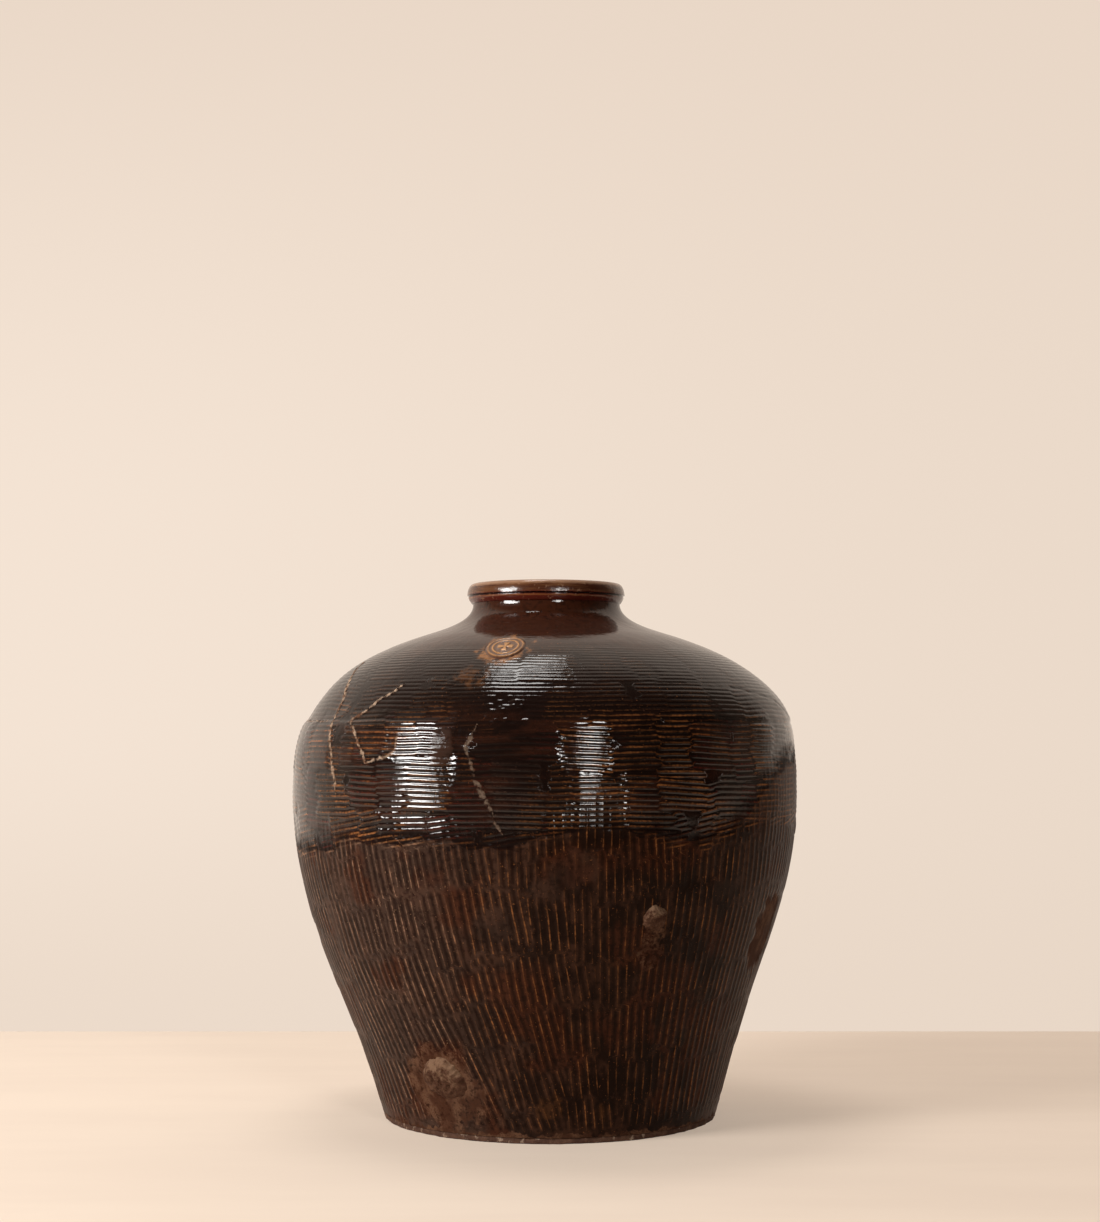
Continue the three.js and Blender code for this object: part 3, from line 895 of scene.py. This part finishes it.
class Nodes:
    """A material's node tree, with short calls for the nodes that the finishes share"""

    def __init__(self, name):
        self.material = bpy.data.materials.new(name)
        self.material.use_nodes = True
        self.tree = self.material.node_tree
        self.tree.nodes.clear()
        self.output = self.tree.nodes.new("ShaderNodeOutputMaterial")
        self.shader = self.tree.nodes.new("ShaderNodeBsdfPrincipled")
        self.tree.links.new(self.shader.outputs["BSDF"], self.output.inputs["Surface"])
        self.place = self.tree.nodes.new("ShaderNodeTexCoord").outputs["Object"]

    def link(self, value, socket):
        """Plugs a socket in, or sets a plain value"""
        if isinstance(value, bpy.types.NodeSocket):
            self.tree.links.new(value, socket)
        else:
            socket.default_value = value

    def add(self, kind, *values, output=0, **settings):
        """One output of a new node, whose first sockets are plugged in or set to the values"""
        node = self.tree.nodes.new("ShaderNode" + kind)
        for name, value in settings.items():
            setattr(node, name, value)
        for value, socket in zip(values, node.inputs):
            self.link(value, socket)
        return node.outputs[output]

    def attribute(self, name):
        return self.add("Attribute", output="Fac", attribute_name=name)

    def paint(self, name):
        return self.add("Attribute", output="Color", attribute_name=name)

    def crest(self, name):
        """0 in the hollows and 1 on the crests of grooves whose phase is kept under that name"""
        wave = self.math("COSINE", self.math("MULTIPLY", self.attribute(name), TAU))
        return self.math("MULTIPLY_ADD", wave, 0.5, 0.5)

    def axes(self):
        """The place along X, Y and Z"""
        node = self.tree.nodes.new("ShaderNodeSeparateXYZ")
        self.tree.links.new(self.place, node.inputs[0])
        return node.outputs

    def stretch(self, scale):
        return self.add("Mapping", self.place, (0, 0, 0), (0, 0, 0), scale)

    def noise(self, scale, detail=3.0, roughness=0.55, place=None):
        return self.add("TexNoise", place or self.place, 0.0, scale, detail, roughness, output="Fac")

    def math(self, operation, *values):
        return self.add("Math", *values, operation=operation)

    def range(self, value, low, high, to_low=0.0, to_high=1.0):
        """Smoothly maps a value from one range to another, and stops at its ends"""
        return self.add("MapRange", value, low, high, to_low, to_high, interpolation_type="SMOOTHSTEP")

    def mix(self, share, first, second):
        node = self.tree.nodes.new("ShaderNodeMix")
        node.data_type = "RGBA"
        self.link(share, node.inputs[0])
        self.link(first, node.inputs[6])
        self.link(second, node.inputs[7])
        return node.outputs[2]

    def bump(self, height, distance, strength=1.0, normal=None):
        node = self.tree.nodes.new("ShaderNodeBump")
        node.inputs["Strength"].default_value = strength
        node.inputs["Distance"].default_value = distance
        self.link(height, node.inputs["Height"])
        if normal is not None:
            self.tree.links.new(normal, node.inputs["Normal"])
        return node.outputs["Normal"]

    def finish(self, colour, roughness, normal=None, specular=0.5):
        self.link(colour, self.shader.inputs["Base Color"])
        self.link(roughness, self.shader.inputs["Roughness"])
        self.shader.inputs["Specular IOR Level"].default_value = specular
        if normal is not None:
            self.tree.links.new(normal, self.shader.inputs["Normal"])
        return self.material


# Heights of the glaze's fine relief, in metres
GROOVE_BUMP = 0.00020
RIB_BUMP = 0.00022
SWELL_BUMP = 0.00020
GRAIN_BUMP = 0.00012


def wall_glaze(colours):
    """Iron glaze, from the paint and grooves kept on the wall: crisp lines on the crests, and fine grain"""
    n = Nodes("paddled_wall")
    broken = n.math("SUBTRACT", n.noise(230.0, 4.0, 0.6), 0.5)
    beads = n.range(n.noise(420.0, 2.0, 0.5), 0.36, 0.60, 0.3, 1.0)
    rib, ridge = n.crest("rib_phase"), n.crest("ridge_phase")
    gloss = n.range(n.math("MULTIPLY_ADD", broken, 0.9, n.attribute("gloss")), 0.35, 0.65)
    colour = n.mix(gloss, n.paint("satin_paint"), n.paint("gloss_paint"))
    colour = n.mix(n.range(broken, 0.03, -0.16, 0.0, 0.6), colour, colours.pool)
    upright = n.range(n.math("MULTIPLY_ADD", broken, 0.20, rib), 0.90, 1.0)
    upright = n.math("MULTIPLY", upright, n.attribute("rib_line"))
    level = n.range(n.math("MULTIPLY_ADD", broken, 0.6, ridge), 0.58, 0.98)
    level = n.math("MULTIPLY", level, n.attribute("ridge_line"))
    line = n.math("MULTIPLY", n.math("MAXIMUM", upright, level), beads)
    speck = n.range(n.noise(560.0, 2.0, 0.5), 0.67, 0.75, 0.0, 0.5)
    colour = n.mix(n.math("MAXIMUM", line, speck), colour, n.paint("line_paint"))
    mark = n.range(n.math("MULTIPLY_ADD", broken, 1.6, n.attribute("mark")), 0.26, 0.64)
    mark = n.math("MULTIPLY", mark, n.range(n.noise(640.0, 2.0, 0.5), 0.34, 0.56, 0.45, 1.0))
    colour = n.mix(mark, colour, n.paint("mark_paint"))

    groove = n.math("MULTIPLY", n.math("SUBTRACT", 1.0, ridge), n.attribute("ridge_force"))
    height = n.math("MULTIPLY", n.math("MULTIPLY", groove, groove), -GROOVE_BUMP)
    proud = n.math("MULTIPLY", n.math("POWER", rib, 5.0), n.attribute("rib_force"))
    height = n.math("MULTIPLY_ADD", proud, RIB_BUMP, height)
    height = n.math("MULTIPLY_ADD", n.noise(85.0, 2.0, 0.5), SWELL_BUMP, height)
    height = n.math("MULTIPLY_ADD", broken, GRAIN_BUMP, height)
    skin = n.bump(height, 1.0)
    n.link(n.attribute("coat"), n.shader.inputs["Coat Weight"])
    n.link(skin, n.shader.inputs["Coat Normal"])
    n.shader.inputs["Coat Roughness"].default_value = 0.055
    n.shader.inputs["Coat IOR"].default_value = 1.5
    n.shader.inputs["Specular Tint"].default_value = (1.0, 0.80, 0.66, 1.0)
    return n.finish(colour, n.attribute("rough"), skin, 0.05)


def lip_glaze(colours):
    """Caramel glaze in level bands, dark red where it gathers under the roll, with a painted pale reflection
    along the top of the roll and painted shade in the crease under it
    """
    n = Nodes("banded_lip")
    streak = n.math("SUBTRACT", n.noise(120.0, 4.0, 0.65), 0.5)
    level = n.math("MULTIPLY_ADD", streak, 0.0024, n.axes()["Z"])
    bands = n.noise(70.0, 4.0, 0.6, n.stretch((0.35, 0.35, 5.0)))
    roll = n.mix(n.range(bands, 0.42, 0.60), colours.lip, colours.thin)
    # Painted reflection: a pale tan band along the top of the roll
    roll = n.mix(n.range(level, 0.4665, 0.4695, 0.0, 0.8), roll, colours.tan)
    colour = n.mix(n.range(level, 0.4600, 0.4622), colours.ruby, roll)
    # Painted shade: the crease under the roll is painted nearly black
    crease = n.math("MULTIPLY", n.range(level, 0.4583, 0.4592), n.range(level, 0.4606, 0.4599))
    colour = n.mix(n.math("MULTIPLY", crease, 0.9), colour, colours.pool)
    worn = n.math("MULTIPLY", n.range(level, 0.4566, 0.4574), n.range(level, 0.4586, 0.4580))
    worn = n.math("MULTIPLY", worn, n.range(bands, 0.40, 0.60, 0.1, 0.6))
    colour = n.mix(worn, colour, colours.crest)
    colour = n.mix(n.range(n.noise(300.0, 4.0, 0.6), 0.58, 0.74, 0.0, 0.6), colour, colours.tan)
    skin = n.bump(n.noise(160.0, 3.0), 0.0008, 0.5)
    return n.finish(colour, n.range(bands, 0.3, 0.7, 0.12, 0.26), skin, 0.4)


def kiln_clay(colours):
    """Rough fired clay: painted lighter pinkish grey on its upper side as painted light from above,
    red-brown and pitted lower down
    """
    n = Nodes("kiln_clay")
    patch = n.noise(120.0, 5.0, 0.7)
    grit = n.noise(900.0, 4.0, 0.65)
    top = n.attribute("top")
    colour = n.mix(n.range(patch, 0.34, 0.66), colours.scar, colours.clay)
    # Painted light: the upper side of each lump is painted lighter pinkish grey, as lit from above
    lit = n.range(n.math("MULTIPLY_ADD", n.math("SUBTRACT", patch, 0.5), 1.8, top), 0.50, 0.85)
    colour = n.mix(lit, colour, colours.wad)
    colour = n.mix(n.range(grit, 0.64, 0.76, 0.0, 0.5), colour, colours.pale)
    colour = n.mix(n.range(grit, 0.40, 0.28, 0.0, 0.8), colour, colours.satin)
    lump = n.bump(n.noise(240.0, 5.0, 0.7), 0.0016, 0.7)
    return n.finish(colour, n.range(patch, 0.3, 0.7, 0.9, 0.7), n.bump(grit, 0.0004, 0.6, lump), 0.1)


def foot_clay(colours):
    """Chipped bare clay of the foot's edge"""
    n = Nodes("foot_clay")
    patch = n.noise(95.0, 5.0, 0.7)
    grit = n.noise(700.0, 4.0, 0.65)
    colour = n.mix(n.range(patch, 0.40, 0.68), colours.scar, colours.clay)
    colour = n.mix(n.range(n.noise(160.0, 3.0, 0.6), 0.58, 0.70, 0.0, 0.8), colour, colours.pale)
    lump = n.bump(n.noise(200.0, 5.0, 0.7), 0.0020, 0.7)
    return n.finish(colour, 0.85, n.bump(grit, 0.0004, 0.6, lump), 0.3)


def tablet_glaze(colours):
    """Ochre where the tablet's rings break through the glaze, brown between them"""
    n = Nodes("stamped_tablet")
    raised = n.attribute("raised")
    patch = n.math("SUBTRACT", n.noise(190.0, 4.0, 0.65), 0.5)
    shown = n.range(n.math("MULTIPLY_ADD", patch, 1.3, raised), 0.25, 0.85)
    colour = n.mix(shown, colours.clay, colours.ochre)
    edge = n.range(n.attribute("rim"), 0.55, 0.95)
    colour = n.mix(n.math("MULTIPLY", edge, n.range(patch, -0.2, 0.15)), colour, colours.thin)
    return n.finish(colour, 0.3, n.bump(n.noise(500.0, 3.0), 0.0004, 0.5), 0.4)


def shared_material(name, make, colours):
    """The material of that name, made the first time that it is asked for

    The frame's own materials have the slots' names, so these have others.
    """
    return bpy.data.materials.get(name) or make(colours)


# Operators


class JarOperator(bpy.types.Operator):
    """What the jar's operators share"""

    bl_options = {"REGISTER", "UNDO"}

    def setup(self, context):
        scene = context.scene
        self.shape = scene.jar_shape
        self.marks = scene.jar_marks
        self.colours = scene.jar_colours
        self.outline = Outline(self.shape)
        self.girth = self.outline.length_at(GIRTH_SEAM)
        self.shoulder = self.outline.length_at(millimetres(self.shape.shoulder_height))
        self.neck = self.outline.length_at(NECK_SEAM)
        self.glaze = shared_material("paddled_wall", wall_glaze, self.colours)

    def thickness(self, length):
        """The wall thins from the foot to the girth seam"""
        return float(np.interp(length, (0.0, self.girth), (FOOT_WALL, millimetres(self.shape.wall))))

    def add_wall(self, node, slot, rows, inner_rows, columns):
        """A section of wall over its CAD node, with fewer rows inside"""
        wall = wall_section(node + "_clay", self.outline, rows, np.linspace(rows[0], rows[-1], inner_rows),
                            self.thickness, columns, self.marks, self.colours)
        finish_piece(wall, self.glaze, slot, node)


class JAR_OT_foot_slab(JarOperator):
    """Add the bare clay slab under the wall"""

    bl_idname = "jar.foot_slab"
    bl_label = "Foot slab"

    def execute(self, context):
        self.setup(context)
        edge = millimetres(self.shape.foot_radius)
        start_clean()
        bpy.ops.mesh.primitive_cylinder_add(
            vertices=360, radius=(edge - 1.5) * MM, depth=SLAB_EDGE * MM,
            location=(0, 0, SLAB_EDGE * MM / 2))
        slab = context.active_object
        slab.name = "foot_slab_clay"
        bpy.ops.object.transform_apply(location=True, rotation=False, scale=False)
        with editing(True):
            bpy.ops.mesh.bevel(offset=1.2 * MM, segments=3, affect="EDGES")
            bpy.ops.mesh.select_all(action="DESELECT")
        max(slab.data.polygons, key=lambda face: face.center.z + face.area).select = True
        bpy.ops.object.mode_set(mode="EDIT")
        bpy.ops.mesh.inset(thickness=(FOOT_WALL - 1.5) * MM)
        bpy.ops.mesh.extrude_region_move(
            TRANSFORM_OT_translate={"value": (0, 0, (SLAB_THICKNESS - SLAB_EDGE) * MM)})
        bpy.ops.object.mode_set(mode="OBJECT")
        points = read_points(slab)
        turn = np.arctan2(points[:, 0], -points[:, 1])
        chips = clouds(turn, points[:, 2] / MM, 3.0, 4.0, 71, 4)
        rim = ramp(np.hypot(points[:, 0], points[:, 1]), 0.137, 0.146)
        scale = 1 + rim * (chips - 0.45) * 0.016
        points[:, 0] *= scale
        points[:, 1] *= scale
        write_points(slab, points)
        let_drift(slab)
        smooth(slab)
        finish_piece(slab, shared_material("foot_clay", foot_clay, self.colours), "bare_clay", "foot_slab")
        return {"FINISHED"}


class JAR_OT_lower_wall(JarOperator):
    """Add the lower wall with its upright ribs"""

    bl_idname = "jar.lower_wall"
    bl_label = "Lower wall"

    def execute(self, context):
        self.setup(context)
        self.add_wall("lower_wall", "lower_glaze", np.linspace(0.0, self.girth, 98), 8, self.shape.columns)
        return {"FINISHED"}


class JAR_OT_belly_wall(JarOperator):
    """Add the belly ring with its level ridges"""

    bl_idname = "jar.belly_wall"
    bl_label = "Belly ring"

    def execute(self, context):
        self.setup(context)
        rows = np.linspace(self.girth, self.shoulder, 130)
        self.add_wall("belly_wall", "upper_glaze", rows, 4, round(0.8 * self.shape.columns))
        return {"FINISHED"}


class JAR_OT_shoulder_dome(JarOperator):
    """Add the dome from the shoulder seam to the neck"""

    bl_idname = "jar.shoulder_dome"
    bl_label = "Shoulder dome"

    def execute(self, context):
        self.setup(context)
        smooth_from = self.shoulder + RIDGED_DOME
        rows = np.concatenate([
            np.linspace(self.shoulder, smooth_from, 84)[:-1], np.linspace(smooth_from, self.neck, 18)])
        self.add_wall("shoulder_dome", "dome_glaze", rows, 6, self.shape.columns)
        return {"FINISHED"}


class JAR_OT_neck(JarOperator):
    """Add the neck collar and the rolled lip"""

    bl_idname = "jar.neck"
    bl_label = "Neck and lip"

    def execute(self, context):
        self.setup(context)
        rows = np.linspace(self.neck, self.outline.total, 26)
        self.add_wall("neck_collar", "collar_glaze", rows, 6, self.shape.columns)
        self.add_lip()
        return {"FINISHED"}

    def add_lip(self):
        waist, seat = millimetres(self.shape.neck_radius), millimetres(self.shape.neck_height)
        outer = LIP_BOX[1].y / MM
        top = LIP_BOX[1].z / MM
        roll = (LIP_WIDTH - LIP_LAND) / 2
        widest = top - LIP_ROLL_HEIGHT
        inner = outer - LIP_WIDTH
        quarter = [(math.cos(a), math.sin(a)) for a in np.linspace(0, math.pi / 2, 12)]
        points = [(waist + out, seat + up) for out, up in LIP_UNDERSIDE]
        points += [(outer - roll * (1 - out), widest + LIP_ROLL_HEIGHT * up) for out, up in quarter]
        points += [(inner + roll * (1 - out), widest + LIP_ROLL_HEIGHT * up) for up, out in quarter]
        points.append((waist - millimetres(self.shape.wall), seat))
        lip = throw(profile("rolled_lip_clay", points, True), 360)
        let_drift(lip)
        smooth(lip)
        finish_piece(lip, shared_material("banded_lip", lip_glaze, self.colours), "lip_glaze", "rolled_lip")


class JAR_OT_tablet(JarOperator):
    """Add the oval tablet on the shoulder, with plain raised rings"""

    bl_idname = "jar.tablet"
    bl_label = "Tablet"

    def execute(self, context):
        self.setup(context)

        def rings(reach):
            outer = np.exp(-(((reach - 0.80) / 0.06) ** 2))
            inner = np.exp(-(((reach - 0.58) / 0.05) ** 2))
            return np.maximum(outer, inner)

        def petals(across, up):
            reach = np.hypot(across, up)
            petal = 0.5 + 0.5 * np.cos(4 * np.arctan2(up, across))
            return (1 - ramp(reach, 0.30, 0.42)) * ramp(petal + 0.4 * (1 - ramp(reach, 0.0, 0.2)), 0.25, 0.6)

        def raised(across, up):
            return np.maximum(rings(np.hypot(across, up)), petals(across, up))

        def top(across, up):
            reach = np.hypot(across, up)
            return -1.5 + 1.5 * (1 - ramp(reach, 0.84, 1.0)) + 0.7 * raised(across, up)

        tablet, across, up = wall_lump("tablet_clay", self.outline, -13.5, 409.0, 18.5, 23.5, top,
                                       depth=3.0, segments=120, rings=96)
        write_attribute(tablet, "raised", raised(across, up))
        write_attribute(tablet, "rim", np.hypot(across, up))
        finish_piece(tablet, shared_material("stamped_tablet", tablet_glaze, self.colours),
                     "tablet_glaze", "seal_tablet")
        return {"FINISHED"}


class JAR_OT_wads(JarOperator):
    """Add the lumps of kiln clay on the lower wall"""

    bl_idname = "jar.wads"
    bl_label = "Kiln wads"

    def execute(self, context):
        self.setup(context)
        self.add_wad("low_kiln_wad", "low_wad_clay", 301, -32.5, 53.0, 23.0, 21.0, 5.5)
        self.add_wad("high_kiln_wad", "high_wad_clay", 302, 25.4, 187.0, 12.5, 13.0, 4.6)
        return {"FINISHED"}

    def add_wad(self, node, slot, seed, degrees, height, half_width, half_height, out):
        """An arched lump: steep along its top edge, and running out into the wall at its foot"""

        def top(across, up):
            angle = np.arctan2(up, across)
            reach = np.hypot(across, up)
            ragged = 0.90 + 0.75 * (clouds(angle, reach * 10, 34.0, 40.0, seed, 3) - 0.5)
            dome = 1 - (reach / ragged) ** 5
            slope = 0.42 + 0.58 * ramp(up, -0.95, 0.35)
            rough = clouds(across, up * 40.0, 6.0, 7.0, seed + 7, 3) - 0.5
            return -1.8 + (out + 1.8) * np.clip(dome, -0.3, 1.0) * slope + 3.0 * rough * (1 - reach**4)

        wad, _, up = wall_lump(node + "_clay", self.outline, degrees, height, half_width, half_height, top,
                               depth=3.0, segments=120, rings=80)
        # 0 at the lump's foot and 1 at its top, where the clay is painted lighter as painted light
        write_attribute(wad, "top", 0.5 + 0.5 * up)
        finish_piece(wad, shared_material("kiln_clay", kiln_clay, self.colours), slot, node)


# The stage

CAMERA_PLACE = (0.0048, -1.902, 0.338)
CAMERA_PITCH = math.radians(3.28)
SENSOR = 36.0
FOCAL_LENGTH = 2112.0 / 1222.0 * SENSOR
WALL_BEHIND = 0.51

# Lamps as (name, azimuth, elevation, distance, width, height, brightness)
LAMPS = (
    ("left_box", -62.0, 26.0, 3.0, 2.0, 1.7, 0.3),
    ("left_core", -57.0, 17.0, 2.9, 1.25, 0.75, 31.0),
    ("right_box", 19.0, 15.0, 3.0, 0.60, 0.75, 18.0),
    ("top_box", -136.0, 81.4, 2.33, 1.00, 0.62, 9.0),
)
LAMP_AIM = Vector((0.0, 0.0, 0.3))


def floor_paint():
    """Pale matt floor with a faint cloudiness, painted dark in front of the view as painted shade of the
    unlit studio, and with its glow painted lighter on the left as painted light falloff
    """
    n = Nodes("floor_paint")
    place = n.axes()
    # Painted shade: the floor darkens in front of the view, where the studio is unlit
    near = n.range(place["Y"], -0.52, -0.85)
    faint = n.range(n.noise(3.0, 4.0, 0.6, n.stretch((0.6, 3.0, 1.0))), 0.3, 0.7)
    clay = n.mix(near, n.mix(faint, (0.50, 0.415, 0.345, 1), (0.53, 0.445, 0.37, 1)), (0.10, 0.085, 0.07, 1))
    rays = n.tree.nodes.new("ShaderNodeLightPath").outputs
    seen = n.math("MAXIMUM", rays["Is Camera Ray"], rays["Is Glossy Ray"])
    seen = n.math("MAXIMUM", seen, rays["Is Transmission Ray"])
    # Painted light falloff: the glow that camera and reflection rays see is lighter on the left than on the
    # right
    sideways = n.mix(n.range(place["X"], -0.6, 0.5), (0.365, 0.305, 0.25, 1), (0.345, 0.28, 0.225, 1))
    n.link(n.mix(near, sideways, (0.02, 0.015, 0.01, 1)), n.shader.inputs["Emission Color"])
    n.link(seen, n.shader.inputs["Emission Strength"])
    return n.finish(clay, 0.9, None, 0.0)


def backdrop_paint():
    """Pale wall, as bright as it is written from in front and clear from behind, with painted light falloff:
    lighter on the left than on the right, darker towards its top and near the floor, and darker past its
    sides
    """
    n = Nodes("backdrop_paint")
    place = n.axes()
    # Painted light falloff: lighter on the left than on the right, darker towards the top and near the
    # floor, and darker past the left and right ends
    sideways = n.mix(n.range(place["X"], -0.7, 0.7), (0.905, 0.77, 0.655, 1), (0.83, 0.70, 0.59, 1))
    colour = n.mix(n.range(place["Z"], 0.55, 1.4), sideways, (0.81, 0.675, 0.565, 1))
    colour = n.mix(n.range(place["Z"], 0.36, 0.0, 0.0, 0.6), colour, (0.80, 0.67, 0.56, 1))
    colour = n.mix(n.range(place["X"], 0.72, 1.5), colour, (0.15, 0.11, 0.08, 1))
    colour = n.mix(n.range(place["X"], -0.8, -2.2), colour, (0.40, 0.31, 0.24, 1))
    n.finish((0, 0, 0, 1), 1.0, None, 0.0)
    n.link(colour, n.shader.inputs["Emission Color"])
    n.shader.inputs["Emission Strength"].default_value = 1.0
    behind = n.add("NewGeometry", output="Backfacing")
    sides = n.add("MixShader", behind, n.shader.outputs["BSDF"], n.add("BsdfTransparent"))
    n.link(sides, n.output.inputs["Surface"])
    return n.material


def pale_surroundings():
    """A world that is pale behind the jar, most of all on the left, and dim in front of it"""
    world = bpy.data.worlds.new("studio")
    world.use_nodes = True
    nodes, links = world.node_tree.nodes, world.node_tree.links
    background = nodes["Background"]
    background.inputs["Color"].default_value = (1.0, 0.76, 0.58, 1)
    split = nodes.new("ShaderNodeSeparateXYZ")
    links.new(nodes.new("ShaderNodeTexCoord").outputs["Generated"], split.inputs[0])

    def fade(axis, dim, pale, lowest, highest):
        node = nodes.new("ShaderNodeMapRange")
        node.interpolation_type = "SMOOTHSTEP"
        links.new(split.outputs[axis], node.inputs["Value"])
        for name, value in (("From Min", dim), ("From Max", pale), ("To Min", lowest), ("To Max", highest)):
            node.inputs[name].default_value = value
        return node.outputs["Result"]

    strength = nodes.new("ShaderNodeMath")
    strength.operation = "MULTIPLY"
    links.new(fade("Y", -0.30, 0.30, 0.02, 0.26), strength.inputs[0])
    links.new(fade("X", 0.3, -0.5, 0.55, 1.0), strength.inputs[1])
    links.new(strength.outputs[0], background.inputs["Strength"])
    return world


def soft_box(name, azimuth, elevation, distance, width, height, brightness):
    """An oval studio lamp that faces the jar, where a brightness of 1 is a fully lit white wall"""
    around, above = math.radians(azimuth), math.radians(elevation)
    away = Vector((math.sin(around) * math.cos(above), -math.cos(around) * math.cos(above),
                   math.sin(above)))
    light = bpy.data.lights.new(name, "AREA")
    light.shape = "ELLIPSE"
    light.size = width
    light.size_y = height
    light.energy = brightness * math.pi * width * height
    light.color = (1.0, 0.98, 0.955)
    lamp = bpy.data.objects.new(name, light)
    bpy.context.scene.collection.objects.link(lamp)
    lamp.location = LAMP_AIM + away * distance
    lamp.rotation_euler = (-away).to_track_quat("-Z", "Y").to_euler()
    return lamp


class JAR_OT_stage(JarOperator):
    """Add the pale floor and wall, the studio lamps and the camera"""

    bl_idname = "jar.stage"
    bl_label = "Stage"

    def execute(self, context):
        self.add_room()
        for lamp in LAMPS:
            soft_box(*lamp)
        context.scene.world = pale_surroundings()
        self.add_camera(context)
        return {"FINISHED"}

    def add_room(self):
        self.add_plane("floor", 12.0, (0, 0, 0), 0, floor_paint())
        self.add_plane("backdrop", 8.0, (0, WALL_BEHIND, 4.0), math.pi / 2, backdrop_paint())

    def add_plane(self, name, size, place, tilt, paint):
        start_clean()
        bpy.ops.mesh.primitive_plane_add(size=size, location=place, rotation=(tilt, 0, 0))
        plane = bpy.context.active_object
        plane.name = name
        bpy.ops.object.transform_apply(location=True, rotation=True, scale=False)
        plane.data.materials.append(paint)

    def add_camera(self, context):
        lens = bpy.data.cameras.new("camera")
        lens.lens = FOCAL_LENGTH
        lens.sensor_width = SENSOR
        camera = bpy.data.objects.new("camera", lens)
        context.scene.collection.objects.link(camera)
        camera.location = CAMERA_PLACE
        camera.rotation_euler = (math.pi / 2 + CAMERA_PITCH, 0, 0)
        context.scene.camera = camera
        context.scene.view_settings.view_transform = "Standard"


class JAR_PT_panel(bpy.types.Panel):
    """The jar's pieces in the sidebar"""

    bl_idname = "JAR_PT_panel"
    bl_label = "Stoneware jar"
    bl_space_type = "VIEW_3D"
    bl_region_type = "UI"
    bl_category = "Jar"

    def draw(self, context):
        layout = self.layout
        for group in (context.scene.jar_shape, context.scene.jar_marks, context.scene.jar_colours):
            box = layout.box()
            for name in group.__annotations__:
                box.prop(group, name)
        for operator in PIECES:
            layout.operator(operator.bl_idname)


GROUPS = (JarShape, PaddleMarks, GlazeColours)
PIECES = (
    JAR_OT_stage, JAR_OT_foot_slab, JAR_OT_lower_wall, JAR_OT_belly_wall, JAR_OT_shoulder_dome,
    JAR_OT_neck, JAR_OT_tablet, JAR_OT_wads,
)


def register():
    for cls in GROUPS + PIECES + (JAR_PT_panel,):
        bpy.utils.register_class(cls)
    bpy.types.Scene.jar_shape = PointerProperty(type=JarShape)
    bpy.types.Scene.jar_marks = PointerProperty(type=PaddleMarks)
    bpy.types.Scene.jar_colours = PointerProperty(type=GlazeColours)


def unregister():
    del bpy.types.Scene.jar_colours
    del bpy.types.Scene.jar_marks
    del bpy.types.Scene.jar_shape
    for cls in reversed(GROUPS + PIECES + (JAR_PT_panel,)):
        bpy.utils.unregister_class(cls)


def main():
    register()
    bpy.ops.jar.stage()
    bpy.ops.jar.foot_slab()
    bpy.ops.jar.lower_wall()
    bpy.ops.jar.belly_wall()
    bpy.ops.jar.shoulder_dome()
    bpy.ops.jar.neck()
    bpy.ops.jar.tablet()
    bpy.ops.jar.wads()
    bpy.context.view_layer.update()


if __name__ == "__main__":
    main()
